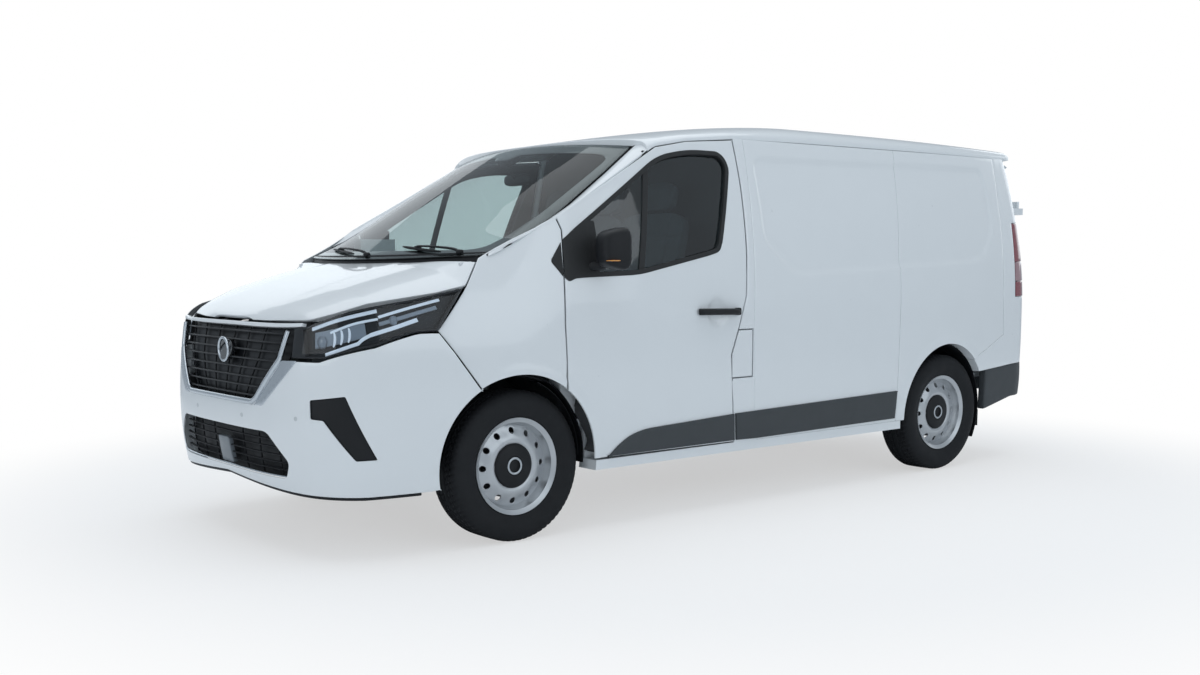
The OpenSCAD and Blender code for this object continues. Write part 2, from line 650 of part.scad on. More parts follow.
lamp_hi = [[0.355, 1000], [0.42, 1008], [0.62, 1072], [0.83, 1112], [0.955, 1150]];
function lamp_point(a, b) =
    let(u = lerp(0.366, 0.95, a), z = lerp(on_line(lamp_lo, u) - 8, on_line(lamp_hi, u) - 14, b))
    nose_point(u, z);
module headlamps() color("#5a6268") {
    difference() {
        both_sides() shell(function(a, b) lamp_point(a, b), 14, 5, cover_t + 20);
        shell(function(a, b) bumper_point(a, b, 2 * fit), 32, 8, cover_t + 50, 20);
    }
}

// Cowl under the windscreen and the bulkhead between engine and cab.
cowl_top = 1208;
module scuttle() color("#202224") {
    firewall_y = my(-1420);
    top = mz(cowl_top);
    xs = [780, 640, 400, 200, 0, -200, -400, -640, -780];
    front = [for (x = xs) [mx(x), my(-1698 - 105 * (1 - pow(abs(x) / 842, 2.5)))]];
    back = [for (i = [len(xs) - 1:-1:0]) [mx(xs[i]), my(-1745 + 110 * pow(abs(xs[i]) / 846, 2.2))]];
    difference() {
        union() {
            translate([0, 0, top - 44]) linear_extrude(44) polygon(concat(front, back));
            box([-mx(780), my(-1700), top - 60], [mx(780), firewall_y, top - 40]);
            box([-mx(bonnet_arm_x) - arm_w - 18, my(-1690), top - 60], [mx(bonnet_arm_x) + arm_w + 18, my(-1630), top - 40]);
            box([-mx(780), firewall_y - 8, floor_z + fit], [mx(780), firewall_y, top - 40]);
            both_sides()
                box([mx(bonnet_arm_x) + arm_w + 3, bonnet_pin_y - 14, top - 60],
                    [mx(bonnet_arm_x) + arm_w + 18, bonnet_pin_y + 14, bonnet_pin_z + 10]);
        }
        both_sides() {
            translate([mx(bonnet_arm_x), bonnet_pin_y, bonnet_pin_z]) rotate([0, 90, 0])
                cylinder(h = 60, r = pin_d / 2 - 1 + pin_play);
            box([mx(bonnet_arm_x) - 6, bonnet_pin_y - 110, top - 30], [mx(bonnet_arm_x) + arm_w + 2, bonnet_pin_y + 20, top + 20]);
            across_disc(arch_y_f, arch_z, liner_r + liner_t + 1, liner_side_f - 1, 1400);
        }
    }
}

// ---------- Tail ----------
function rear_bumper_point(a, b) =
    let(q = (a - 0.5) * 2,
        r = 250,
        edge = side_x(tail_y - r, 500) - r - 8,
        t = abs(q) < 0.45 ? 0 : clamp((abs(q) - 0.45) / 0.3) * 90,
        run = clamp((abs(q) - 0.75) / 0.25),
        x = abs(q) < 0.45 ? edge * abs(q) / 0.45 : edge + r * sin(t) + run * 30,
        y = abs(q) < 0.75 ? tail_y - r + r * cos(t) : lerp(tail_y - r, 1860, run),
        low = lerp(400, 322, run),
        z = lerp(low, 592 - 24 * run, b))
    [x * sign(q), y - 8 * (1 - b), z];
module rear_bumper() color("#3b3f42") {
    // Brackets to the back of the floor.
    both_sides() box([480, tail_floor_y + fit, floor_z - 50], [560, my(2505), floor_z - 4]);
    difference() {
        shell(function(a, b) rear_bumper_point(1 - a, b), 32, 4, cover_t + 26);
        both_sides() across_disc(arch_y_r, arch_z, arch_r + 8, 600, 1400);
    }
}

// Rear doors: thin outer skin, and a box set in from its edges so that the corners swing clear.
rear_door_low = 622;
function rear_door_top(x) = roof_z(x, 2380) - roof_t - 16;
function rear_door_point(a, b, inset) =
    let(z1 = lerp(rear_door_low + inset, rear_door_top(a * 600) - inset, b),
        x = lerp(gap / 2 - 0.5 + inset, tail_edge_x(z1) - gap - inset, a))
    [x, tail_face_y(x, z1), z1];
module rear_door() {
    difference() {
        union() {
            shell(function(a, b) rear_door_point(1 - a, b, 0), 6, 12, skin_t);
            shell(function(a, b) rear_door_point(1 - a, b, 15), 6, 12, rear_door_t, -6);
            for (i = [0, 1]) {
                z = rear_hinge_z[i] + knuckle_h + 3;
                y_in = rear_pin_y - [30, 62][i];
                box([rear_pin_x - 122, y_in, z], [rear_pin_x - 94, rear_pin_y + 8, z + knuckle_h]);
                box([rear_pin_x - 122, rear_pin_y - 6, z], [rear_pin_x, rear_pin_y + 8, z + knuckle_h]);
                translate([rear_pin_x, rear_pin_y, z]) cylinder(h = knuckle_h, r = knuckle_r);
                translate([rear_pin_x, rear_pin_y, z - knuckle_h + 2]) cylinder(h = knuckle_h, r = pin_d / 2);
            }
        }
    }
}
module rear_door_left() color("white") rear_door();
module rear_door_right() color("white") mirror([1, 0, 0]) rear_door();

// ---------- Front doors ----------
frame_t = 40;
module window_cut() {
    difference() {
        across(window_line);
        across(divider, 200, 1400);
    }
}
module front_door() {
    difference() {
        union() {
            intersection() {
                side_slab(-1330, -100, 330, 1864, skin_t, 0, 8, 14);
                across_inset(door_line, gap / 2);
            }
            // Box of the door below the window, behind the hinges.
            intersection() {
                side_slab(-1240, -100, 355, 1180, door_t, -4, 4, 7);
                across_inset(door_line, gap / 2 + 15);
                box([300, door_pin_y + 24, 355], [1400, my(0), 1400]);
            }
            // Frame round the window.
            intersection() {
                side_slab(-1330, -100, 1150, 1864, frame_t, -4, 8, 8);
                across_inset(door_line, gap / 2 + 8);
            }
            for (z = hinge_z) {
                ear_z = z + knuckle_h + 2;
                box([door_pin_x - 30, door_pin_y - 6, ear_z], [door_pin_x + 8, door_pin_y + 40, ear_z + 16]);
                translate([door_pin_x, door_pin_y, ear_z]) cylinder(h = 16, r = knuckle_r);
                translate([door_pin_x, door_pin_y, z]) cylinder(h = knuckle_h + 4, r = pin_d / 2);
                box([door_pin_x - 4, door_pin_y - 6, ear_z], [inner_x - skin_t + 4, door_pin_y + 30, ear_z + 16]);
            }
        }
        window_cut();
        across_disc(arch_y_f, arch_z, arch_r + 2, 700, 1400);
    }
}
module front_door_left() color("white") front_door();
module front_door_right() color("white") mirror([1, 0, 0]) front_door();

module door_glass() {
    intersection() {
        side_slab(-1330, -100, 1150, 1864, 16 + glass_t, -16, 8, 8);
        difference() {
            across_inset(window_line, fit);
            across_inset(divider, -fit, 200, 1400);
        }
    }
}
module door_glass_left() color("#4a5558", 0.5) door_glass();
module door_glass_right() color("#4a5558", 0.5) mirror([1, 0, 0]) door_glass();

// Mirror: housing, arm and the foot on the window's front corner.
mirror_low = 1200;
mirror_high = 1408;
mirror_x = [inner_x + 12, mirror_span / 2];
mirror_y = [my(-1175), my(-1035)];
module door_mirror() {
    hull() {
        for (x = [mirror_x[0] + 26, mirror_x[1] - 26], z = [mz(mirror_low) + 26, mz(mirror_high) - 26])
            translate([x, mirror_y[1], z]) rotate([90, 0, 0]) cylinder(h = 60, r = 26, $fn = 24);
        for (x = [mirror_x[0] + 40, mirror_x[1] - 50], z = [mz(mirror_low) + 46, mz(mirror_high) - 46])
            translate([x, mirror_y[0] + 40, z]) rotate([90, 0, 0]) cylinder(h = 40, r = 20, $fn = 24);
    }
    box([mx(965), mirror_y[0] + 40, mz(1215)], [mirror_x[0] + 20, mirror_y[0] + 90, mz(1262)]);
    intersection() {
        side_slab(-1330, -100, 330, 1864, -fit, 9, 8, 14);
        across(m_side([[-1286, 1186], [-1120, 1190], [-1120, 1300], [-1150, 1370], [-1262, 1340], [-1286, 1260]]));
    }
}
module mirror_left() color("#1d1f21") door_mirror();
module mirror_right() color("#1d1f21") mirror([1, 0, 0]) door_mirror();

// Pull handle and lower moulding of a front door.
handle_y = [-496, -230];
handle_z = 1001;
moulding_t = 12;
door_moulding = m_side([[-1062, 346], [-1010, 392], [-930, 440], [-834, 463], [-237, 488], [-228, 346]]);
module door_trim() {
    box([inner_x + 22, my(handle_y[0]), mz(handle_z) - 17], [inner_x + 38, my(handle_y[1]), mz(handle_z) + 17]);
    for (y = [my(handle_y[0]) + 14, my(handle_y[1]) - 34])
        box([inner_x + fit, y, mz(handle_z) - 12], [inner_x + 23, y + 20, mz(handle_z) + 12]);
    intersection() {
        side_slab(-1100, -200, 340, 500, -fit, moulding_t, 6, 2);
        across_inset(door_moulding, gap / 2);
    }
}
module door_trim_left() color("#33373a") door_trim();
module door_trim_right() color("#33373a") mirror([1, 0, 0]) door_trim();

side_moulding = m_side([[-225, 346], [-236, 488], [1060, 515], [1050, 352], [-70, 342]]);
module side_mouldings() color("#33373a") {
    both_sides() intersection() {
        side_slab(-260, 1100, 337, 530, -fit, moulding_t, 8, 2);
        difference() {
            across_inset(side_moulding, 2);
            across_inset(door_line, -gap / 2);
        }
    }
}

module fuel_flap() color("white") {
    difference() {
        intersection() {
            side_slab(-280, -90, 650, 920, 7, 0, 2, 4);
            across_inset(flap_line, gap / 2);
        }
        // Room for the hinge side to swing clear of the side panel, and for the fixed knuckle.
        box([inner_x - 40, flap_pin_y + 3, 600], [inner_x + 5, flap_pin_y + 60, 950]);
        translate([flap_pin_x, flap_pin_y, flap_hinge_z[0] - 1])
            cylinder(h = flap_hinge_z[1] - flap_hinge_z[0] + 2, r = 6);
    }
    for (z = [flap_hinge_z[0] - 28, flap_hinge_z[1] + 3])
        translate([flap_pin_x, flap_pin_y, z]) cylinder(h = 25, r = 5);
    translate([flap_pin_x, flap_pin_y, flap_hinge_z[0] - 20])
        cylinder(h = flap_hinge_z[1] - flap_hinge_z[0] + 40, r = 2.5);
}

// ---------- Cab ----------
bulkhead_y = [-104, -76];
module bulkhead() color("#5b6064") {
    half = function(z) side_x(bulkhead_y[0], z) - (wall_t + 1) * styled_w / body_w;
    steps = [for (i = [0:10]) lerp(waist_z - 390, 1840, i / 10)];
    top = [for (x = [700, 500, 250, 0]) [mx(x), mz(roof_z(x, bulkhead_y[0])) - roof_t - 3]];
    side = [for (z = steps) [mx(half(z)), max(mz(z), floor_z + fit)]];
    points = concat(side, top);
    translate([0, my(bulkhead_y[1]), 0]) rotate([90, 0, 0])
        linear_extrude(my(bulkhead_y[1]) - my(bulkhead_y[0]))
            polygon(concat(points, [for (i = [len(points) - 1:-1:0]) [-points[i][0], points[i][1]]]));
}
steer_c = [mx(390), my(-985), 1110];
column_r = 26;
module dashboard() color("#2b2e30") {
    half = rocker_x - 90 - fit;
    difference() {
        union() {
            translate([-half, 0, 0]) rotate([90, 0, 90]) linear_extrude(half * 2)
                polygon([[my(-1410), 1060], [my(-1410), 1150], [my(-1230), 1165], [my(-1110), 1120],
                         [my(-1080), 1010], [my(-1120), 900], [my(-1250), 840]]);
            translate(steer_c) rotate([90 + column_rake, 0, 0]) translate([0, 0, 46])
                cylinder(h = 150, r = column_r);
        }
        translate(steer_c) rotate([90 + column_rake, 0, 0]) translate([0, 0, 40])
            cylinder(h = 120, r = 11 + pin_play);
    }
}
module steering_wheel() color("#242628") {
    translate(steer_c) rotate([90 + column_rake, 0, 0]) {
        rotate_extrude() translate([steer_d / 2 - 15, 0]) circle(r = 15, $fn = 24);
        translate([0, 0, 8]) cylinder(h = 28, r = 62);
        translate([0, 0, 30]) cylinder(h = 110, r = 11);
        for (a = [0, 180, 270])
            rotate(a) translate([50, -13, 2]) cube([steer_d / 2 - 66, 26, 14]);
    }
}
// A seat: boxed base, cushion, leaning back and head restraint.
seat_y = [-860, -340];
cushion_z = [floor_z + 270, floor_z + 400];
module seat(width) {
    d = my(seat_y[1]) - my(seat_y[0]);
    translate([-width / 2, my(seat_y[0]), 0]) {
        translate([0, 0, cushion_z[0]]) cube([width, d - 60, cushion_z[1] - cushion_z[0]]);
    }
    translate([-width / 2, my(seat_y[1]) - 96, cushion_z[1] + 6]) rotate([-14, 0, 0])
        cube([width, 96, seat_back_h]);
}
driver_x = mx(400);
bench_x = -mx(240);
module seats() color("#3c4044") {
    translate([driver_x, 0, 0]) seat(seat_w);
    translate([bench_x, 0, 0]) seat(seat_w * 1.72);
    for (x = [driver_x, bench_x - seat_w * 0.43, bench_x + seat_w * 0.43])
        translate([x, my(seat_y[1]) - 96, cushion_z[1] + 6]) rotate([-14, 0, 0])
            translate([-120, 12, seat_back_h + 18]) cube([240, 76, 150]);
}
module seat_bases() color("#26292b") {
    for (s = [[driver_x, seat_w - 80], [bench_x, seat_w * 1.72 - 100]])
        box([s[0] - s[1] / 2, my(seat_y[0]) + 30, floor_z + fit], [s[0] + s[1] / 2, my(seat_y[1]) - 110, cushion_z[0] - fit]);
    // Stems of the head restraints.
    for (x = [driver_x, bench_x - seat_w * 0.43, bench_x + seat_w * 0.43], s = [-50, 50])
        translate([x + s, my(seat_y[1]) - 96, cushion_z[1] + 6]) rotate([-14, 0, 0])
            translate([0, 50, seat_back_h + fit]) cylinder(h = 18 - 2 * fit, r = 6);
}

// ---------- Underside ----------
module engine() color("#6d7175") {
    box([-mx(330), my(-2230), 330], [mx(330), my(-1760), 1000]);
    // Mounts on the frame rails.
    both_sides() box([mx(330) - 1, my(-2050), 430], [430 - fit, my(-1980), 490]);
}
module fuel_tank() color("#202224") {
    box([40, my(-330), 300], [400, my(620), floor_z - floor_t - fit]);
}
exhaust_x = -352;
muffler_l = 620;
module exhaust() color("#8b8f92") {
    muffler_y = my(560);
    translate([exhaust_x, my(-1250), 380]) rotate([-90, 0, 0]) cylinder(h = muffler_y - my(-1250) + 1, r = 28);
    translate([exhaust_x, muffler_y, 390]) rotate([-90, 0, 0]) cylinder(h = muffler_l, r = 72);
    translate([exhaust_x, muffler_y + muffler_l - 1, 380]) rotate([-90, 0, 0])
        cylinder(h = tail_floor_y - muffler_y - muffler_l, r = 26);
    for (y = [my(-900), my(200), muffler_y + 900])
        box([exhaust_x - 30, y, 395], [exhaust_x + 30, y + 20, floor_z - floor_t - fit]);
}
king_x = wheel_x_f - king_offset;
ball_z = hub_z - 113;
ball_x = king_x + 113 * tan(king_lean);
spring_low = tyre_d + 24;
strut_x = king_x - 106;
strut_r = 25;
spring_r = 48;
module front_subframe() color("#2a2c2e") {
    box([-380, axle_f - 120, ball_z - 24], [380, axle_f + 110, ball_z + 36]);
    both_sides() {
        // Lower arm, out to the ball joint.
        box([340, axle_f - 40, ball_z - 18], [560, axle_f + 40, ball_z + 12]);
        box([540, axle_f - 14, ball_z - 18], [ball_x, axle_f + 14, ball_z + 12]);
        translate([ball_x, axle_f, ball_z - 18]) cylinder(h = 30, r = 14);
        box([431, axle_f - 110, ball_z + 12], [500, axle_f - 70, rail_z - fit]);
        box([300, axle_f - 110, ball_z], [500, axle_f - 70, ball_z + 30]);
        // Spring of the strut, up to its seat in the wheel arch.
        translate([strut_x + 8, axle_f, spring_low])
            cylinder(h = arch_z + sqrt(pow(liner_r, 2) - pow(axle_f - arch_y_f + spring_r, 2)) - 0.7 - spring_low,
                     r = spring_r);
    }
}
disc_r = 150;
disc_x = -16;
module knuckle() {
    translate([wheel_x_f - 88, axle_f, hub_z]) rotate([0, 90, 0]) cylinder(h = 44, r = 58);
    translate([wheel_x_f - 60, axle_f, hub_z]) rotate([0, 90, 0]) cylinder(h = 60, r = 24);
    // Ball joint's stem, strut bracket and strut.
    translate([ball_x, axle_f, ball_z + 14.8]) rotate([0, -king_lean, 0]) cylinder(h = 70, r = 11);
    box([ball_x - 45, axle_f - 14, ball_z + 60], [ball_x + 6, axle_f + 14, ball_z + 84]);
    box([strut_x - 10, axle_f - 20, hub_z + 92], [wheel_x_f - 70, axle_f + 20, hub_z + 126]);
    box([wheel_x_f - 88, axle_f - 20, hub_z + 30], [wheel_x_f - 62, axle_f + 20, hub_z + 126]);
    translate([strut_x, axle_f, hub_z + 92]) cylinder(h = spring_low - hub_z - 98, r = strut_r);
    // Steering arm and brake caliper.
    box([king_x - 30, axle_f + 30, hub_z - 52], [king_x - 8, axle_f + 112, hub_z - 30]);
    box([king_x - 28, axle_f + 20, hub_z - 52], [king_x - 4, axle_f + 50, hub_z - 6]);
    box([wheel_x_f - 62, axle_f - 158, hub_z - 44], [wheel_x_f + disc_x - 6, axle_f - 40, hub_z + 44]);
}
module knuckle_left() color("#54585b") knuckle();
module knuckle_right() color("#54585b") mirror([1, 0, 0]) knuckle();
module rear_axle() color("#2a2c2e") {
    translate([-wheel_x_r + 60, axle_r - 40, hub_z - 30]) rotate([0, 90, 0])
        cylinder(h = 2 * wheel_x_r - 120, r = 38);
    both_sides() {
        translate([wheel_x_r - 88, axle_r, hub_z]) rotate([0, 90, 0]) cylinder(h = 44, r = 58);
        translate([wheel_x_r - 60, axle_r, hub_z]) rotate([0, 90, 0]) cylinder(h = 60, r = 24);
        // Trailing arm, spring and damper.
        box([500, axle_r - 470, hub_z - 20], [560, axle_r - 20, hub_z + 24]);
        box([470, axle_r - 500, hub_z - 20], [560, axle_r - 440, rail_z - fit]);
        translate([568, axle_r + 20, hub_z - 30]) cylinder(h = floor_z - floor_t - fit - hub_z + 30, r = spring_r);
        box([500, axle_r - 60, hub_z - 50], [610, axle_r + 60, hub_z - 22]);
    }
}
spare_z = 300;
module spare_wheel() color("#202224") {
    translate([0, my(2085), spare_z]) difference() {
        cylinder(h = 175, r = 315);
        translate([0, 0, -1]) cylinder(h = 60, r = 190);
    }
    translate([0, my(2085), spare_z + 170]) cylinder(h = floor_z - floor_t - fit - spare_z - 170, r = 20);
}

// ---------- Wheels ----------
flange_r = rim_d / 2;
bead_r = flange_r - 15;
tyre_r = tyre_d / 2;
tw = tyre_w / 2;
rim_w = tyre_w - 52;
module tyre(x, y) {
    translate([x, y, hub_z]) rotate([0, 90, 0]) rotate_extrude($fn = 96) polygon([
        [bead_r + fit, -rim_w / 2 + 6], [bead_r + fit, rim_w / 2 - 6], [flange_r + 1, rim_w / 2 - 2], [flange_r + 5, rim_w / 2 + 6],
        [lerp(flange_r, tyre_r, 0.3), tw - 5], [lerp(flange_r, tyre_r, 0.52), tw], [lerp(flange_r, tyre_r, 0.74), tw - 4],
        [tyre_r - 14, tw - 14], [tyre_r - 5, tw - 24], [tyre_r, tw - 44],
        [tyre_r, 44 - tw], [tyre_r - 5, 24 - tw], [tyre_r - 14, 14 - tw],
        [lerp(flange_r, tyre_r, 0.74), 4 - tw], [lerp(flange_r, tyre_r, 0.52), -tw], [lerp(flange_r, tyre_r, 0.3), 5 - tw],
        [flange_r + 5, -rim_w / 2 - 6], [flange_r + 1, 2 - rim_w / 2]]);
}
rim_hole_r = 14;
rim_hole_n = 12;
module rim(x, y) {
    w = rim_w / 2;
    translate([x, y, hub_z]) rotate([0, 90, 0]) {
        difference() {
            union() {
                rotate_extrude($fn = 96) polygon([
                    [flange_r, w + 6], [flange_r, w], [bead_r, w - 4], [bead_r, w - 26], [bead_r - 24, w - 40],
                    [bead_r - 24, -w + 44], [bead_r, -w + 26], [bead_r, -w + 4], [flange_r, -w], [flange_r, -w - 6],
                    [flange_r - 5, -w - 6], [bead_r - 6, -w + 2], [bead_r - 6, -w + 28], [bead_r - 31, -w + 46],
                    [bead_r - 31, w - 52], [150, w - 44], [118, w - 28], [104, w - 30], [96, w - 44], [60, w - 46],
                    [60, w - 38], [92, w - 36], [102, w - 20], [120, w - 18], [154, w - 34], [bead_r - 31, w - 42],
                    [bead_r - 6, w - 22], [bead_r - 6, w - 2], [flange_r - 5, w + 6]]);
                // Hub with the brake disc.
                translate([0, 0, disc_x]) cylinder(h = w - 38 - disc_x, r = 70);
                translate([0, 0, disc_x]) cylinder(h = 20, r = disc_r);
                translate([0, 0, w - 60]) cylinder(h = 42, r = 72);
                translate([0, 0, w - 40]) cylinder(h = 26, r = 98);
            }
            for (i = [0:rim_hole_n - 1])
                rotate(i * 360 / rim_hole_n + 15) translate([164, 0, w - 90]) cylinder(h = 80, r = rim_hole_r, $fn = 32);
            translate([0, 0, disc_x - 1]) cylinder(h = 20 - disc_x, r = 24 + pin_play);
        }
    }
}
module tyre_front_left() color("#1c1d1f") tyre(wheel_x_f, axle_f);
module tyre_front_right() color("#1c1d1f") mirror([1, 0, 0]) tyre(wheel_x_f, axle_f);
module tyre_rear_left() color("#1c1d1f") tyre(wheel_x_r, axle_r);
module tyre_rear_right() color("#1c1d1f") mirror([1, 0, 0]) tyre(wheel_x_r, axle_r);
module rim_front_left() color("silver") rim(wheel_x_f, axle_f);
module rim_front_right() color("silver") mirror([1, 0, 0]) rim(wheel_x_f, axle_f);
module rim_rear_left() color("silver") rim(wheel_x_r, axle_r);
module rim_rear_right() color("silver") mirror([1, 0, 0]) rim(wheel_x_r, axle_r);

floor_pan();
wheel_arch_liners();
hinge_pillars();
b_pillars();
side_panel_left();
side_panel_right();
sliding_door();
wings();
rear_pillars();
tail_lamps();
roof();
windscreen();
windscreen_pillars();
scuttle();
front_bumper();
grille();
headlamps();
rear_bumper();
side_mouldings();
bulkhead();
dashboard();
seats();
seat_bases();
engine();
fuel_tank();
exhaust();
front_subframe();
rear_axle();
spare_wheel();
bonnet();
fuel_flap();
front_door_left();
front_door_right();
door_glass_left();
door_glass_right();
mirror_left();
mirror_right();
door_trim_left();
door_trim_right();
rear_door_left();
rear_door_right();
steering_wheel();
knuckle_left();
knuckle_right();
tyre_front_left();
tyre_front_right();
tyre_rear_left();
tyre_rear_right();
rim_front_left();
rim_front_right();
rim_rear_left();
rim_rear_right();
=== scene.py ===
import json
import math

import bpy
import numpy as np
from mathutils import Matrix, Vector
from mathutils.geometry import delaunay_2d_cdt


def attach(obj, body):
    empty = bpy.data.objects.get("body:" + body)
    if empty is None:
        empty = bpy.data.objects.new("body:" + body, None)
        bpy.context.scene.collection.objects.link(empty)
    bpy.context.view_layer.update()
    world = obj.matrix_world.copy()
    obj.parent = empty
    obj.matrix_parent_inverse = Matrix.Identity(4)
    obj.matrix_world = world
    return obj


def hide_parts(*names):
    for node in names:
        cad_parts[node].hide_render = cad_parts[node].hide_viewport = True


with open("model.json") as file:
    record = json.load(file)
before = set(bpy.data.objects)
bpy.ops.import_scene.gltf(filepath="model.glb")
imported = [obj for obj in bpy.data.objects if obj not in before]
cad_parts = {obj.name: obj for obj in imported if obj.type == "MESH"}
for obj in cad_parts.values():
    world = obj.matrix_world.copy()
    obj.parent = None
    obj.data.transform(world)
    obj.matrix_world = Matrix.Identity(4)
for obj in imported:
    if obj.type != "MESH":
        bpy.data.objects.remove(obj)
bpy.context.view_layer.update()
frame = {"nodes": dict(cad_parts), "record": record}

# ---------------------------------------------------------------- Studio
# A plain pale floor under a white sky, with large soft lamps above and in front.
# The camera stands ahead of the van's left front corner, at chest height.
scene = bpy.context.scene
scene.view_settings.view_transform = "Standard"
camera_data = bpy.data.cameras.new("camera")
camera = bpy.data.objects.new("camera", camera_data)
scene.collection.objects.link(camera)
scene.camera = camera
camera_data.sensor_width = 36
camera_data.lens = 37.82
camera_data.shift_x = 0.0179
camera_data.shift_y = 0.0916
camera_at = (5.4524, -4.7519, 1.2455)
right_way, up_way, back_way = (0.61824, 0.78595, -0.00776), (-0.10939, 0.09581, 0.98937), (0.77834, -0.61082, 0.14521)
camera.matrix_world = Matrix.Translation(camera_at) @ Matrix((right_way, up_way, back_way)).transposed().to_4x4()


def set_inputs(node, values):
    """The node, with the values of its inputs set by name or number."""
    for key, value in values.items():
        node.inputs[key].default_value = value
    return node


def add_node(tree, kind, values={}, operation=None):
    """A new shader node of a kind in a tree, with its inputs' values and its operation."""
    node = tree.nodes.new("ShaderNode" + kind)
    if operation:
        node.operation = operation
    return set_inputs(node, values)


def connect(tree, *wires):
    """Links in a tree: each wire is a node and its output's name or number, then a node and its input's."""
    for source, output, target, entry in wires:
        tree.links.new(source.outputs[output], target.inputs[entry])


world = bpy.data.worlds.new("sky")
scene.world = world
world.use_nodes = True
sky = world.node_tree
ambient = set_inputs(sky.nodes["Background"], {"Color": (0.80, 0.90, 1.0, 1), "Strength": 0.46})
white = add_node(sky, "Background", {"Color": (1, 1, 1, 1)})
seen = add_node(sky, "LightPath")
either = add_node(sky, "Math", operation="MAXIMUM")
pick = add_node(sky, "MixShader")
connect(sky, (seen, "Is Camera Ray", either, 0), (seen, "Is Transmission Ray", either, 1), (either, 0, pick, 0),
        (ambient, 0, pick, 1), (white, 0, pick, 2), (pick, 0, sky.nodes["World Output"], "Surface"))

for lamp_name, place, aim, size, power, tint in [
        ("overhead", (0, -0.3, 6.2), (0, 0, 0), (7.5, 9.5), 190, (0.95, 0.98, 1.0)),
        ("left_wall", (7.0, 0.6, 3.2), (0, 0.4, 1.0), (8.0, 3.6), 78, (0.90, 0.96, 1.0)),
        ("front_wall", (1.6, -8.0, 3.0), (0, -2.0, 0.8), (6.0, 3.4), 66, (0.95, 0.98, 1.0)),
        ("right_wall", (-7.0, 0.4, 3.0), (0, 0.4, 1.0), (8.0, 3.2), 60, (0.92, 0.97, 1.0)),
        ("back_wall", (0, 8.0, 3.0), (0, 2.0, 1.0), (5.0, 3.0), 45, (0.95, 0.98, 1.0))]:
    lamp_data = bpy.data.lights.new(lamp_name, "AREA")
    lamp_data.shape = "RECTANGLE"
    lamp_data.size, lamp_data.size_y = size
    lamp_data.energy = power
    lamp_data.color = tint
    lamp = bpy.data.objects.new(lamp_name, lamp_data)
    scene.collection.objects.link(lamp)
    lamp.matrix_world = Matrix.Translation(place) @ (
        Vector(aim) - Vector(place)).to_track_quat("-Z", "Y").to_matrix().to_4x4()

half = 40
floor_mesh = bpy.data.meshes.new("studio_floor")
floor_mesh.from_pydata([(-half, -half, 0), (half, -half, 0), (half, half, 0), (-half, half, 0)], [], [(0, 1, 2, 3)])
studio_floor = bpy.data.objects.new("studio_floor", floor_mesh)
scene.collection.objects.link(studio_floor)
floor_paint = bpy.data.materials.new("studio_floor")
floor_paint.use_nodes = True
tree = floor_paint.node_tree
floor_shader = set_inputs(tree.nodes["Principled BSDF"], {"Base Color": (0.90, 0.91, 0.92, 1), "Roughness": 0.9})
floor_glow = add_node(tree, "Emission", {"Color": (1, 1, 1, 1)})
spot = add_node(tree, "TexCoord")
reach = add_node(tree, "VectorMath", operation="LENGTH")
fade = add_node(tree, "MapRange", {"From Min": 2.6, "From Max": 4.6, "To Min": 0.55})
fade.interpolation_type = "SMOOTHSTEP"
seen = add_node(tree, "LightPath")
only_seen = add_node(tree, "Math", operation="MULTIPLY")
floor_mix = add_node(tree, "MixShader")
connect(tree, (spot, "Object", reach, 0), (reach, "Value", fade, "Value"), (fade, "Result", only_seen, 0),
        (seen, "Is Camera Ray", only_seen, 1), (only_seen, 0, floor_mix, 0), (floor_shader, 0, floor_mix, 1),
        (floor_glow, 0, floor_mix, 2), (floor_mix, 0, tree.nodes["Material Output"], "Surface"))
floor_mesh.materials.append(floor_paint)

# ---------------------------------------------------------------- Load space sides
# Pressed steel outer panels, painted white, with a long shallow recess and a seam where
# two pressings meet. They are drawn in millimetres on the van's side surface.
MM = 0.001


def smooth(v):
    """Rises from 0 to 1 with level ends, as v goes from 0 to 1: three v squared less two v cubed."""
    c = np.clip(v, 0, 1)
    return c * c * (3 - 2 * c)


def shoulder(z):
    """How far the front of the side leans in at height z: a 1.6 power above 850."""
    return 52 * (np.maximum(z - 850, 0) / 300) ** 1.6


def upright(z):
    """Half width of the side at mid length: 978, less a 1.9 power above the waist and a 2.2 power below it."""
    return 978 - 156 * (np.maximum(z - 950, 0) / 900) ** 1.9 - 16 * (np.maximum(950 - z, 0) / 660) ** 2.2


def side_x(y, z):
    """Half width of the body at y and z: upright() less its tapers at the nose and the tail."""
    nose = 33 * (np.maximum(-1200 - y, 0) / 558) ** 2.4
    tail = 60 * (np.maximum(y - 1200, 0) / 1200) ** 2
    return upright(z) - nose - tail - smooth((-1250 - y) / 400) * shoulder(z)


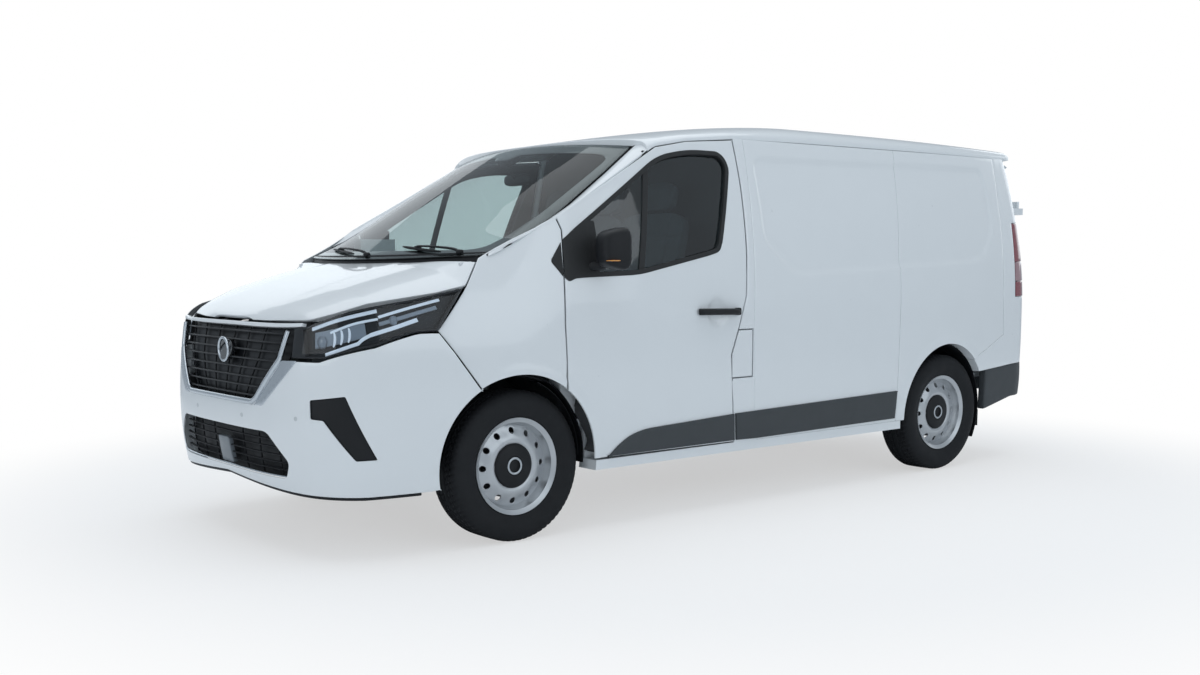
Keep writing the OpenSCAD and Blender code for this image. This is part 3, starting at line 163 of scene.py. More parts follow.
def outline(points, radius=8, step=14):
    """A closed outline: each corner becomes a quadratic curve that starts radius away from it, and each
    straight run is divided into steps."""
    p = np.asarray(points, float)
    r = np.broadcast_to(radius, len(p))
    before, after = np.roll(p, 1, 0) - p, np.roll(p, -1, 0) - p
    lb, la = np.linalg.norm(before, axis=1), np.linalg.norm(after, axis=1)
    cut = np.minimum(r, 0.45 * np.minimum(lb, la))[:, None]
    start, end = p + before / lb[:, None] * cut, p + after / la[:, None] * cut
    t = np.linspace(0, 1, 6)[None, :, None]
    bends = (start[:, None] * (1 - t) ** 2 + 2 * p[:, None] * t * (1 - t) + end[:, None] * t ** 2).reshape(-1, 2)
    gone = np.linalg.norm(np.roll(bends, -1, 0) - bends, axis=1)
    bends, gone = bends[gone > 0.3], gone[gone > 0.3]
    nxt = np.roll(bends, -1, 0)
    runs = [a + (b - a) * np.linspace(0, 1, max(1, int(math.ceil(g / step))), endpoint=False)[:, None]
            for a, b, g in zip(bends, nxt, np.linalg.norm(nxt - bends, axis=1))]
    loop = np.concatenate(runs)
    area = np.sum(loop[:, 0] * np.roll(loop[:, 1], -1) - loop[:, 1] * np.roll(loop[:, 0], -1))
    return loop if area > 0 else loop[::-1]


def moved_in(loop, by):
    """The loop moved to its left, which is inwards on an anticlockwise loop, by a distance."""
    t = np.roll(loop, -1, 0) - np.roll(loop, 1, 0)
    t = t / np.maximum(np.linalg.norm(t, axis=1), 1e-9)[:, None]
    return loop + by * np.stack([-t[:, 1], t[:, 0]], 1)


def inside(p, loop):
    """Whether each point lies inside a loop, by counting the edges that a level ray crosses."""
    a, b = loop[None], np.roll(loop, -1, 0)[None]
    x, y = p[:, None, 0], p[:, None, 1]
    straddles = (a[..., 1] > y) != (b[..., 1] > y)
    run = (b[..., 0] - a[..., 0]) * (y - a[..., 1]) / np.where(a[..., 1] == b[..., 1], 1, b[..., 1] - a[..., 1])
    return (np.sum(straddles & (x < a[..., 0] + run), axis=1) % 2) == 1


def distance(p, loop):
    """Distance from each point to the nearest edge of a loop."""
    a = loop[None]
    d = np.roll(loop, -1, 0)[None] - a
    t = np.clip(np.sum((p[:, None] - a) * d, -1) / np.maximum(np.sum(d * d, -1), 1e-9), 0, 1)
    return np.min(np.linalg.norm(p[:, None] - a - t[..., None] * d, axis=-1), axis=1)


def shell(points, triangles, loops, depth, rim, outward, lift=0):
    """A closed shell from a surface: its front, lifted along its normals, a rim rounded by a quarter
    circle, straight walls and a back that lies depth behind the front."""
    v, f = np.asarray(points, float), np.asarray(triangles)
    flat = np.cross(v[f[:, 1]] - v[f[:, 0]], v[f[:, 2]] - v[f[:, 0]])
    turned = float(np.sum(flat @ np.asarray(outward, float))) < 0
    if turned:
        f, flat = f[:, ::-1], -flat
    n = np.zeros_like(v)
    for k in range(3):
        np.add.at(n, f[:, k], flat)
    n /= np.maximum(np.linalg.norm(n, axis=1), 1e-12)[:, None]
    v = v + lift * n
    count = len(v)
    verts, faces = [v, v - depth * n], [f, f[:, ::-1] + count]
    total = 2 * count
    for loop in loops:
        loop = np.asarray(loop)[::-1] if turned else np.asarray(loop)
        p, m = v[loop], n[loop]
        t = np.roll(p, -1, 0) - np.roll(p, 1, 0)
        out = np.cross(t, m)
        out /= np.maximum(np.linalg.norm(out, axis=1), 1e-9)[:, None]
        rings = [loop]
        for angle in (30, 60, 90):
            s, c = math.sin(math.radians(angle)), math.cos(math.radians(angle))
            verts.append(p + rim * s * out - rim * (1 - c) * m)
            rings.append(np.arange(total, total + len(loop)))
            total += len(loop)
        verts.append(p + rim * out - depth * m)
        rings += [np.arange(total, total + len(loop)), loop + count]
        total += len(loop)
        for a, b in zip(rings, rings[1:]):
            faces.append(np.stack([np.roll(a, -1), a, b, np.roll(b, -1)], 1))
    return np.concatenate(verts), [face for part in faces for face in part.tolist()]


def panel(loop, holes, place, spacing=22, depth=14, rim=1.6, outward=(1, 0, 0), lift=0):
    """A panel cut from a surface: place() puts each point of a flat sheet, trimmed by a loop and its
    holes and divided into triangles, onto the surface."""
    loops = [moved_in(loop, rim)] + [moved_in(hole[::-1], rim) for hole in holes]
    low, high = loop.min(0), loop.max(0)
    gx, gy = np.meshgrid(np.arange(low[0] + spacing / 2, high[0], spacing),
                         np.arange(low[1] + spacing / 2, high[1], spacing))
    gx = gx + np.where(np.arange(gx.shape[0]) % 2, spacing / 2, 0)[:, None]
    sheet = np.stack([gx.ravel(), gy.ravel()], 1)
    sheet = sheet[inside(sheet, loops[0])]
    for lp in loops[1:]:
        sheet = sheet[~inside(sheet, lp)]
    for lp in loops:
        sheet = sheet[distance(sheet, lp) > 0.5 * spacing]
    flat = np.concatenate(loops + [sheet])
    edges, first = [], 0
    for lp in loops:
        ids = np.arange(first, first + len(lp))
        edges += np.stack([ids, np.roll(ids, -1)], 1).tolist()
        first += len(lp)
    found, _, tris, came, _, _ = delaunay_2d_cdt([Vector(p) for p in flat], edges, [], 0, 1e-5)
    now_at = {old: new for new, olds in enumerate(came) for old in olds}
    flat2 = np.array([tuple(p) for p in found])
    tris = np.array(tris)
    middle = flat2[tris].mean(1)
    keep = inside(middle, loops[0])
    for lp in loops[1:]:
        keep &= ~inside(middle, lp)
    tris = tris[keep]
    used = np.unique(tris)
    fresh = np.full(len(flat2), -1)
    fresh[used] = np.arange(len(used))
    rings, first = [], 0
    for lp in loops:
        ring = np.array([fresh[now_at[i]] for i in range(first, first + len(lp))])
        rings.append(ring[np.roll(ring, 1) != ring])
        first += len(lp)
    flat2 = flat2[used]
    return shell(place(flat2[:, 0], flat2[:, 1]), fresh[tris], rings, depth, rim, outward, lift)


def grid(place, columns, rows, depth=14, rim=1.6, outward=(1, 0, 0), lift=0):
    """A panel over the unit square: place(a, b) gives the surface, divided evenly into columns and rows."""
    a, b = np.meshgrid(np.linspace(0, 1, columns + 1), np.linspace(0, 1, rows + 1))
    k = (np.arange(rows)[:, None] * (columns + 1) + np.arange(columns)[None]).ravel()
    w = columns + 1
    tris = np.concatenate([np.stack([k, k + 1, k + w + 1], 1), np.stack([k, k + w + 1, k + w], 1)])
    edge = np.concatenate([np.arange(columns), np.arange(rows) * w + columns,
                           rows * w + columns - np.arange(columns), (rows - np.arange(rows)) * w])
    return shell(place(a.ravel(), b.ravel()), tris, [edge], depth, rim, outward, lift)


def piece(name, shape, material, body, nodes=(), crisp=50):
    mesh = bpy.data.meshes.new(name)
    mesh.from_pydata((np.asarray(shape[0]) * MM).tolist(), [], shape[1])
    mesh.materials.append(material)
    mesh.polygons.foreach_set("use_smooth", np.ones(len(mesh.polygons), bool))
    mesh.update()
    mesh.set_sharp_from_angle(angle=math.radians(crisp))
    obj = bpy.data.objects.new(name, mesh)
    scene.collection.objects.link(obj)
    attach(obj, body)
    if nodes:
        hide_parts(*nodes)
    return obj


def mirrored(shape):
    """The same shape on the other side of the van, with its faces turned to stay outwards."""
    return np.asarray(shape[0]) * (-1, 1, 1), [face[::-1] for face in shape[1]]


def joined(*shapes):
    """Several shapes as one."""
    verts, faces, first = [], [], 0
    for v, f in shapes:
        verts.append(np.asarray(v, float))
        faces += [[i + first for i in face] for face in f]
        first += len(v)
    return np.concatenate(verts), faces


def pair(name, shape, material, body, nodes=()):
    """A left piece and its mirror image. Each * in the names becomes left or right, and a node without
    one, which is both sides in one, goes with the left piece."""
    for side, form in (("left", shape), ("right", mirrored(shape))):
        piece(f"{name}_{side}", form, material, body.replace("*", side),
              [n.replace("*", side) for n in nodes if "*" in n or side == "left"])


def finish(name, colour, rough, metal=0.0, coat=0.0, grain=None, mottle=0.0, wear=0.0, gleam=0.5):
    """A procedural finish. grain is (features per metre, depth in millimetres), mottle varies the colour
    and wear varies the roughness, both by noise on the object's own coordinates. gleam is the strength
    of the plain reflection."""
    material = bpy.data.materials.new(name)
    material.use_nodes = True
    tree = material.node_tree
    shader = set_inputs(tree.nodes["Principled BSDF"], {
        "Base Color": (*colour, 1), "Roughness": rough, "Metallic": metal, "Specular IOR Level": gleam,
        "Coat Weight": coat, "Coat Roughness": 0.06})
    where = add_node(tree, "TexCoord")

    def noise(scale, detail, target, entry):
        """A noise on the object's own coordinates, led into an input of a node."""
        source = add_node(tree, "TexNoise", {"Scale": scale, "Detail": detail})
        connect(tree, (where, "Object", source, "Vector"), (source, "Fac", target, entry))

    if grain:
        bump = add_node(tree, "Bump", {"Distance": grain[1] * MM})
        noise(grain[0], 3, bump, "Height")
        connect(tree, (bump, "Normal", shader, "Normal"))
    if mottle:
        blend = tree.nodes.new("ShaderNodeMix")
        blend.data_type = "RGBA"
        set_inputs(blend, {"A": (*[c * (1 - mottle) for c in colour], 1),
                           "B": (*[min(1, c * (1 + mottle)) for c in colour], 1)})
        noise(7, 4, blend, "Factor")
        connect(tree, (blend, "Result", shader, "Base Color"))
    if wear:
        spread = add_node(tree, "MapRange", {"To Min": max(0.02, rough - wear), "To Max": rough + wear})
        noise(19, 3, spread, "Value")
        connect(tree, (spread, "Result", shader, "Roughness"))
    return material


def arc(cy, cz, r, start, stop, count=40):
    """Points of a circle's arc from one angle to another, in degrees."""
    t = np.radians(np.linspace(start, stop, count))
    return np.stack([cy + r * np.cos(t), cz + r * np.sin(t)], 1).tolist()


white_paint = finish("white_paint", (0.78, 0.81, 0.83), 0.30, coat=0.9, grain=(420, 0.012), mottle=0.012, wear=0.05)
FRONT_ARCH, REAR_ARCH = (-1541, 355), (1537, 355)
ARCH_R = 400
recess_loop = outline([[-2, 1758], [2012, 1780], [2030, 1430], [1900, 1262], [1770, 1237], [260, 1178], [190, 1197],
                       [0, 1350]], [60, 60, 60, 50, 50, 60, 40, 60])


def arch_lip(y, z, centre):
    """A raised band round a wheel arch: 5 high at the opening, fading out 46 away from it."""
    away = np.hypot(y - centre[0], z - centre[1]) - ARCH_R
    return 5 * smooth((46 - away) / 12) * (away > -60)


def load_side(y, z):
    """The side surface, pressed in by 9 inside the recess and raised in a lip round the rear arch."""
    flat = np.stack([y, z], 1)
    near = distance(flat, recess_loop) * np.where(inside(flat, recess_loop), 1, -1)
    return np.stack([side_x(y, z) - 9 * smooth((near + 11) / 22) + arch_lip(y, z, REAR_ARCH), y, z], 1)


def side_plain(y, z):
    """The plain side surface, without its pressings."""
    return np.stack([side_x(y, z), y, z], 1)


seam = [[1066, 337], [1066, 850], [1074, 1269], [1156, 1858]]
front_side = outline([[-48, 1857], [-83, 1440], [-107, 905], [-89, 501], [-64, 337]] + seam, 6)
rear_side = outline(seam[::-1] + [[1137, 337]] + arc(*REAR_ARCH, ARCH_R, 178, 47)
                    + [[1816, 653], [2129, 785], [2110, 1031], [2144, 1619], [2177, 1860]], 6)
load_front = panel(moved_in(front_side, 1.2), [], load_side, 16, 60)
load_rear = panel(moved_in(rear_side, 1.2), [], load_side, 16, 60)
piece("load_side_front_left", load_front, white_paint, "body", ["side_panel_left"])
pair("load_side_rear", load_rear, white_paint, "body")

# Sliding door on the right: the same pressing, with a shut line all round. Two strips of the side stand behind it.
slide_loop = outline([[-55, 1852], [-83, 1440], [-107, 905], [-89, 501], [-64, 341], [1080, 341], [1063, 500],
                      [1063, 850], [1050, 1269], [1075, 1852]], [26, 20, 20, 20, 26, 26, 20, 20, 20, 26])
piece("sliding_door_skin", mirrored(panel(moved_in(slide_loop, 2.5), [], load_side, 16, 60)), white_paint, "body",
      ["sliding_door"])
frame_low = outline([[1085, 338], [1135, 338], [1071, 810], [1065.5, 810], [1065.5, 503]], 1)
frame_high = outline([[1061, 1000], [1068.5, 1000], [1073, 1269], [1154, 1857], [1078.5, 1857], [1053, 1271]], 1)
frame_strips = joined(*[panel(loop, [], load_side, 24, 60) for loop in (frame_low, frame_high)])
piece("sliding_door_frame", mirrored(frame_strips), white_paint, "body", ["side_panel_right"])

# ---------------------------------------------------------------- Front doors
# Two pressings hemmed together: a thin outer skin, and an inner box that carries hinges and glass.
# A round dish behind the handle leaves room for fingers.
door_line = [[-1313, 1449], [-1291, 1390], [-1302, 1143], [-1306, 974], [-1296, 745], [-1296, 340], [-231, 340],
             [-242, 487], [-264, 784], [-216, 910], [-161, 1073], [-140, 1313], [-125, 1630], [-122, 1850],
             [-445, 1827], [-655, 1790]]
window_line = [[-1240, 1185], [-861, 1195], [-395, 1284], [-335, 1300], [-314, 1338], [-196, 1703], [-212, 1752],
               [-250, 1777], [-445, 1778], [-655, 1740], [-1240, 1377]]
window_round = [14, 60, 90, 60, 60, 60, 50, 50, 90, 90, 20]
HANDLE = (-363, 1001)


def door_place(y, z):
    """The side surface with the dish behind the handle and the raised lip round the front arch."""
    dish = 13 * smooth((74 - np.hypot(y - HANDLE[0], z - HANDLE[1])) / 26)
    return np.stack([side_x(y, z) - dish + arch_lip(y, z, FRONT_ARCH), y, z], 1)


door_front = [[-1313, 1449], [-1291, 1390], [-1302, 1143], [-1306, 974], [-1298, 800]]
arch_part = arc(*FRONT_ARCH, ARCH_R + 2, 50, -1.5, 14)
door_loop = outline(door_front + [[-1296, 672]] + arch_part + door_line[6:], 4)
door_loop = moved_in(door_loop, 3.2)
window_loop = outline(window_line, window_round)
door_skin = panel(door_loop, [window_loop], door_place, 18, 9, 2)
pair("door_skin", door_skin, white_paint, "front_door_*", ["front_door_*"])


def door_inner_place(y, z):
    """The side surface with the handle's dish, 8 in from the skin."""
    return door_place(y, z) - (8, 0, 0)


door_box_loop = moved_in(outline([[-1200, 1180], [-1200, 560], [-1130, 440], [-1125, 356], [-231, 356], [-242, 487],
                                  [-264, 784], [-216, 910], [-161, 1073], [-152, 1180]], 12), 16)
door_frame_loop = moved_in(outline([[-1285, 1200], [-1300, 1172], [-150, 1172], [-140, 1313], [-125, 1630],
                                    [-124, 1846], [-445, 1824], [-655, 1788], [-1299, 1440]], 4), 12)
door_card = finish("door_card", (0.035, 0.037, 0.04), 0.72, grain=(900, 0.15), wear=0.08)
door_box = panel(door_box_loop, [], door_inner_place, 40, 78, 3)
door_frame = panel(door_frame_loop, [moved_in(window_loop, -4)], door_inner_place, 40, 34, 3)
pair("door_inner", joined(door_box, door_frame), door_card, "front_door_*")
rubber = finish("seal_rubber", (0.012, 0.013, 0.014), 0.62, grain=(700, 0.08), wear=0.08)


def lifted(place, by):
    """A surface function moved across the van by a distance."""
    def moved(y, z):
        """The surface function given, moved outwards across the van."""
        return place(y, z) + (by, 0, 0)
    return moved


def glass_place(y, z):
    """The side surface where the door's glass lies, 12 in from the skin."""
    return side_plain(y, z) - (12, 0, 0)


window_seal = panel(moved_in(window_loop, -9), [moved_in(window_loop, 13)],
                    lifted(side_plain, 2.2), 30, 16, 1.5)
divider = outline([[-862, 1188], [-828, 1188], [-704, 1768], [-738, 1768]], 3)
divider_bar = panel(divider, [], lifted(glass_place, 6), 30, 12, 2)
sail = outline([[-1250, 1182], [-1098, 1184], [-1104, 1432], [-1126, 1434], [-1250, 1368]], 12)
sail_plate = panel(sail, [], lifted(glass_place, 15), 30, 14, 3)
corner_cover = panel(outline([[-1297, 1345], [-1232, 1392], [-1140, 1440], [-1150, 1180], [-1240, 1174], [-1277, 1160],
                              [-1299, 1178]], [4, 20, 10, 20, 10, 16, 4]), [], side_plain, 24, 5, 1.5, lift=3)
pair("window_seal", joined(window_seal, divider_bar, sail_plate, corner_cover), rubber, "front_door_*")
wing_cover = panel(outline([[-1304, 1336], [-1362, 1252], [-1306, 1182]], [4, 16, 4]), [], side_plain, 24, 5, 1.5,
                   lift=3)
pair("wing_corner_cover", wing_cover, rubber, "body")


def glass(name, tint, rough=0.02, solid=0.72, ior=1.5):
    """Glass of a tint: see-through, with a mirror on its outer side that grows with the angle of view."""
    material = bpy.data.materials.new(name)
    material.use_nodes = True
    tree = material.node_tree
    clear = add_node(tree, "BsdfTransparent", {"Color": (*tint, 1)})
    shine = add_node(tree, "BsdfGlossy", {"Roughness": rough, "Color": (solid, solid, solid, 1)})
    rim = add_node(tree, "Fresnel", {"IOR": ior})
    facing = add_node(tree, "NewGeometry")
    outer = add_node(tree, "Math", {1: -1, 2: 1}, "MULTIPLY_ADD")
    share = add_node(tree, "Math", operation="MULTIPLY")
    where = add_node(tree, "TexCoord")
    ripple = add_node(tree, "TexNoise", {"Scale": 5})
    wave = add_node(tree, "Bump", {"Distance": 0.6 * MM})
    mixed = add_node(tree, "MixShader")
    connect(tree, (where, "Object", ripple, "Vector"), (ripple, "Fac", wave, "Height"),
            (wave, "Normal", shine, "Normal"), (facing, "Backfacing", outer, 0), (outer, 0, share, 0),
            (rim, "Fac", share, 1), (share, 0, mixed, 0), (clear, 0, mixed, 1), (shine, 0, mixed, 2),
            (mixed, 0, tree.nodes["Material Output"], "Surface"))
    return material


tinted = glass("tinted_glass", (0.78, 0.85, 0.86), 0.03, 0.9, 1.85)
pair("door_pane", panel(moved_in(window_loop, -1), [], glass_place, 60, 4, 0.5), tinted, "front_door_*",
     ["door_glass_*"])


def ring_faces(rings, around, turned=False):
    """Faces of a solid of rings of points, which two more points close at its ends: quads between rings
    that follow each other and a fan at either end, all the other way round if turned."""
    n, k = np.arange(around), np.arange(rings - 1)[:, None] * around
    m, last, count = np.roll(n, -1), (rings - 1) * around, rings * around
    quads = np.stack([k + n, k + around + n, k + around + m, k + m], -1).reshape(-1, 4)
    fans = np.concatenate([np.stack([np.full(around, count), n, m], 1),
                           np.stack([np.full(around, count + 1), last + m, last + n], 1)])
    if turned:
        quads, fans = quads[:, [0, 3, 2, 1]], fans[:, [0, 2, 1]]
    return quads.tolist() + fans.tolist()


def block(low, high, r=4, rings=6, around=24):
    """A box with rounded edges: a sphere of radius r, its directions pushed out to the box's corners."""
    low, high = np.asarray(low, float), np.asarray(high, float)
    lat = np.radians(np.linspace(90, -90, 2 * rings + 2))[1:-1]
    lon = np.radians((np.arange(around) + 0.5) * 360 / around)
    d = np.stack([np.cos(lat)[:, None] * np.cos(lon), np.cos(lat)[:, None] * np.sin(lon),
                  np.repeat(np.sin(lat)[:, None], around, 1)], -1).reshape(-1, 3)
    half, mid = (high - low) / 2, (low + high) / 2
    r = min(r, float(half.min()) * 0.98)
    body = mid + np.sign(d) * (half - r) + r * d
    ends = np.array([mid + (0, 0, half[2]), mid - (0, 0, half[2])])
    return np.concatenate([body, ends]), ring_faces(2 * rings, around)


def turned_about(shape, axis, degrees, centre):
    """The shape turned about an axis through a point."""
    m = np.array(Matrix.Rotation(math.radians(degrees), 3, axis))
    return (np.asarray(shape[0]) - centre) @ m.T + centre, shape[1]


def tube(path, radius, around=14, flat=1.0):
    """A round bar along a path: rings square to the path, closed by fans; flat below 1 makes it oval."""
    p = np.asarray(path, float)
    t = np.gradient(p, axis=0)
    t /= np.linalg.norm(t, axis=1)[:, None]
    ref = np.array([0, 0, 1.0]) if abs(t[:, 2]).max() < 0.9 else np.array([1.0, 0, 0])
    if abs(t @ ref).max() > 0.95:
        ref = np.array([0, 1.0, 0])
    side = np.cross(t, ref)
    side /= np.linalg.norm(side, axis=1)[:, None]
    up = np.cross(side, t)
    a = np.radians(np.arange(around) * 360 / around)
    r = np.broadcast_to(np.asarray(radius, float), (len(p),))[:, None, None]
    rings = p[:, None] + r * (np.cos(a)[None, :, None] * side[:, None] + flat * np.sin(a)[None, :, None] * up[:, None])
    return np.concatenate([rings.reshape(-1, 3), p[:1], p[-1:]]), ring_faces(len(p), around, True)


def curve(points, count=24):
    """A smooth path through points: a cubic that passes through each of them at even parameters."""
    p = np.asarray(points, float)
    n = len(p)
    ends = np.concatenate([[2 * p[0] - p[1]], p, [2 * p[-1] - p[-2]]])
    s = np.linspace(0, n - 1, count)
    i = np.minimum(s.astype(int), n - 2)
    f = (s - i)[:, None]
    a, b, c, d = ends[i], ends[i + 1], ends[i + 2], ends[i + 3]
    return 0.5 * (2 * b + (c - a) * f + (2 * a - 5 * b + 4 * c - d) * f ** 2 + (3 * b - a - 3 * c + d) * f ** 3)


black_plastic = finish("black_plastic", (0.009, 0.010, 0.012), 0.5, grain=(1500, 0.05), mottle=0.1, wear=0.07,
                       gleam=0.3)
grey_plastic = finish("grey_plastic", (0.042, 0.048, 0.053), 0.55, grain=(1300, 0.08), mottle=0.08, wear=0.06)
hx = float(side_x(*HANDLE))
grip = tube(curve([[hx + 2, -488, 1003], [hx + 24, -466, 1003], [hx + 31, -363, 1001], [hx + 24, -256, 998],
                   [hx + 2, -236, 997]], 40), 17, 16, 0.95)
lock_cap = block((hx + 2, -256, 980), (hx + 32, -224, 1017), 9)
moulding_line = outline([[-1062, 346], [-1010, 392], [-930, 440], [-834, 463], [-237, 488], [-228, 346]],
                        [6, 90, 120, 120, 6, 6])
strip = panel(moved_in(moulding_line, 3.5), [], lifted(side_plain, 11.5), 24, 11, 5)
pair("door_handle", joined(grip, lock_cap), black_plastic, "front_door_*")
pair("door_moulding", strip, grey_plastic, "front_door_*", ["door_trim_*"])
side_strip_line = outline([[-223, 346], [-234, 489], [1060, 515], [1050, 352], [-70, 342]], 5)
side_strip = panel(moved_in(side_strip_line, 3.5), [],
                   lifted(side_plain, 11.5), 24, 11, 5)
pair("side_moulding", side_strip, grey_plastic, "body", ["side_mouldings"])

# Door mirrors: a domed black housing on a short arm, with the heated glass facing back and an indicator slit.
def dome(low, high, power=3.2, taper=0.12, columns=40, rows=24):
    """A rounded housing: a superellipsoid of a power, its section drawn in towards the front."""
    low, high = np.asarray(low, float), np.asarray(high, float)
    mid, half = (low + high) / 2, (high - low) / 2
    u = np.radians(np.arange(columns) * 360 / columns)
    v = np.radians(np.linspace(-90, 90, rows + 2))[1:-1]
    def wave(c):
        """A sine or cosine with its shape squared up by the power."""
        return np.sign(c) * np.abs(c) ** (2 / power)
    ring = wave(np.cos(v))[:, None]
    y = np.repeat(wave(np.sin(v))[:, None], columns, 1)
    shrink = 1 - taper * (1 - y)
    x, z = ring * wave(np.cos(u))[None] * shrink, ring * wave(np.sin(u))[None] * shrink
    body = mid + np.stack([x, y, z], -1).reshape(-1, 3) * half
    ends = np.array([mid - (0, half[1], 0), mid + (0, half[1], 0)])
    return np.concatenate([body, ends]), ring_faces(rows, columns)


housing = dome((991, -1180, 1200), (1140, -1036, 1408), 4.2, 0.16)
neck = tube(curve([[930, -1150, 1226], [975, -1120, 1228], [1012, -1106, 1240], [1040, -1100, 1262]], 14),
            [30, 30, 30, 29, 28, 28, 27, 27, 26, 26, 26, 25, 25, 24], 18, 0.8)
pair("mirror_housing", joined(housing, neck), black_plastic, "front_door_*", ["mirror_*"])
mirror_face = dome((1024, -1052, 1238), (1107, -1034, 1370), 6, 0)
silver_glass = finish("mirror_glass", (0.75, 0.80, 0.84), 0.03, metal=1.0, wear=0.02)
pair("mirror_glass", mirror_face, silver_glass, "front_door_*")
amber = finish("indicator_lens", (0.75, 0.30, 0.05), 0.18, coat=1.0, grain=(900, 0.05))
pair("mirror_indicator", dome((1076, -1172, 1248), (1142, -1112, 1256), 3, 0.1), amber, "front_door_*")

# ---------------------------------------------------------------- Nose surface and front bumper
# The bumper is one moulded cover, painted with the body: a cubic curve in plan that lies back above
# and below its foremost line. It is open for the lower intake and for two black corner insets.
SHEET, NOSE_END, AHEAD = 1300, -1700, (0, -1, 0)
NOSE_PLAN = np.array([[0, -2540], [760, -2540], [963.4 - 0.1217 * 780, -2480], [963.4, NOSE_END]])


def cubic(u):
    """The cubic curve of the nose in plan, at u from 0 in the middle to 1 where the side begins."""
    u = np.asarray(u, float)[..., None]
    c = NOSE_PLAN
    return c[0] * (1 - u) ** 3 + c[1] * 3 * u * (1 - u) ** 2 + c[2] * 3 * u * u * (1 - u) + c[3] * u ** 3


def nose_point(u, z):
    """The nose at u and height z: the plan curve, drawn in by smooth(u) and back by a 1.2 power of 1 - u."""
    u, z = np.broadcast_arrays(np.asarray(u, float), np.asarray(z, float))
    p = cubic(np.minimum(u, 1))
    back = 90 * (np.maximum(z - 560, 0) / 450) ** 1.9 + 40 * (np.maximum(560 - z, 0) / 260) ** 2
    x = p[..., 0] - smooth(u) * (978 - upright(z) + shoulder(z))
    y = p[..., 1] + (1 - np.minimum(u, 1)) ** 1.2 * back
    past = u > 1
    along = NOSE_END + (u - 1) * 1000
    return np.stack([np.where(past, side_x(along, z), x), np.where(past, along, y), z], -1)


def nose_u(value, z, axis):
    """The u at which the nose's x or y has a value at height z, by halving an interval."""
    value, z = np.asarray(value, float), np.asarray(z, float)
    low, high = np.zeros_like(value), np.ones_like(value)
    for _ in range(26):
        mid = (low + high) / 2
        under = nose_point(mid, z)[..., axis] < value
        low, high = np.where(under, mid, low), np.where(under, high, mid)
    return (low + high) / 2


def nose_sheet(s, z):
    """The nose surface for a flat sheet: s is u times SHEET, negative on the right."""
    p = nose_point(np.abs(s) / SHEET, z)
    return p * np.stack([np.where(s < 0, -1.0, 1.0), np.ones_like(s), np.ones_like(s)], 1)


def nose_offset(by):
    """The nose surface moved forward or back along its own normal in plan."""
    def moved(s, z):
        """The sheet's surface, moved along the plan normal."""
        ahead, behind = nose_sheet(s + 2, z), nose_sheet(s - 2, z)
        t = ahead - behind
        n = np.stack([t[:, 1], -t[:, 0], np.zeros(len(t))], 1)
        return nose_sheet(s, z) + by * n / np.linalg.norm(n, axis=1)[:, None]
    return moved


def on_nose(points, axis=0):
    """An outline given by x (or y) and z, turned into the nose's sheet coordinates."""
    p = np.asarray(points, float)
    u = nose_u(np.abs(p[:, 0]) if axis == 0 else p[:, 0], p[:, 1], axis) * SHEET
    return np.stack([np.where((p[:, 0] < 0) & (axis == 0), -u, u), p[:, 1]], 1).tolist()


def both_halves(half):
    """A closed outline from its left half, which runs from the bottom middle round to the top middle."""
    h = np.asarray(half, float)
    return np.concatenate([h, h[::-1][(h[::-1][:, 0] > 1)] * (-1, 1)]).tolist()


low_line = [[0, 322], [300, 306], [500, 296], [700, 284], [840, 276], [960, 284]]
top_line = [[0, 655], [352, 655], [545, 852], [730, 848], [862, 905], [912, 958], [960, 960]]
seam_cut = [[-1740, 701], [-1800, 782], [-1868, 874], [-1930, 957]]


def edge_run(line, u0, u1, count):
    """Sheet points along an edge given by half width in plan and height, from u0 to u1."""
    u = np.linspace(u0, u1, count)
    table = np.array(line, float)
    return np.stack([u * SHEET, np.interp(cubic(u)[:, 0], table[:, 0], table[:, 1])], 1).tolist()


side_end = on_nose(arc(*FRONT_ARCH, ARCH_R + 1, 190, 121, 24), 1) + on_nose(seam_cut, 1)
u_low, u_top = side_end[0][0] / SHEET, side_end[-1][0] / SHEET
bumper_half = edge_run(low_line, 0, u_low - 0.02, 24) + side_end + edge_run(top_line, u_top - 0.02, 0, 60)
bumper_loop = outline(both_halves(bumper_half), 2, 12)
intake_xz = [[0, 350], [560, 350], [590, 420], [455, 545], [0, 545]]
intake_loop = outline(both_halves(on_nose(intake_xz)), [0, 24, 24, 30, 0, 30, 24, 24], 16)
inset_xz = [[700, 691], [806, 706], [856, 436], [820, 434], [746, 606], [702, 612]]
inset_left = outline(on_nose(inset_xz), 8, 12)
inset_right = outline((np.array(on_nose(inset_xz)) * (-1, 1)).tolist(), 8, 12)
bumper = panel(moved_in(bumper_loop, 2.5), [intake_loop, inset_left, inset_right], nose_sheet, 17, 5, 2, AHEAD)
piece("front_bumper_cover", bumper, white_paint, "body", ["front_bumper"])
inset_shapes = [panel(moved_in(lp, -3), [], nose_offset(-9), 16, 6, 2, AHEAD) for lp in (inset_left, inset_right)]
piece("bumper_corner_insets", joined(*inset_shapes), black_plastic, "body")

# Parking sensors and the dark lip under the bumper.
def disc_on_nose(x, z, r, proud):
    """A flat round button that lies on the nose at x and z."""
    u = float(nose_u(abs(x), z, 0)) * SHEET
    loop = outline(arc(math.copysign(u, x), z, r, 0, 345, 24), 0.1, 6)
    return panel(loop, [], nose_offset(proud), r, proud + 3, min(1.5, r / 4), AHEAD)


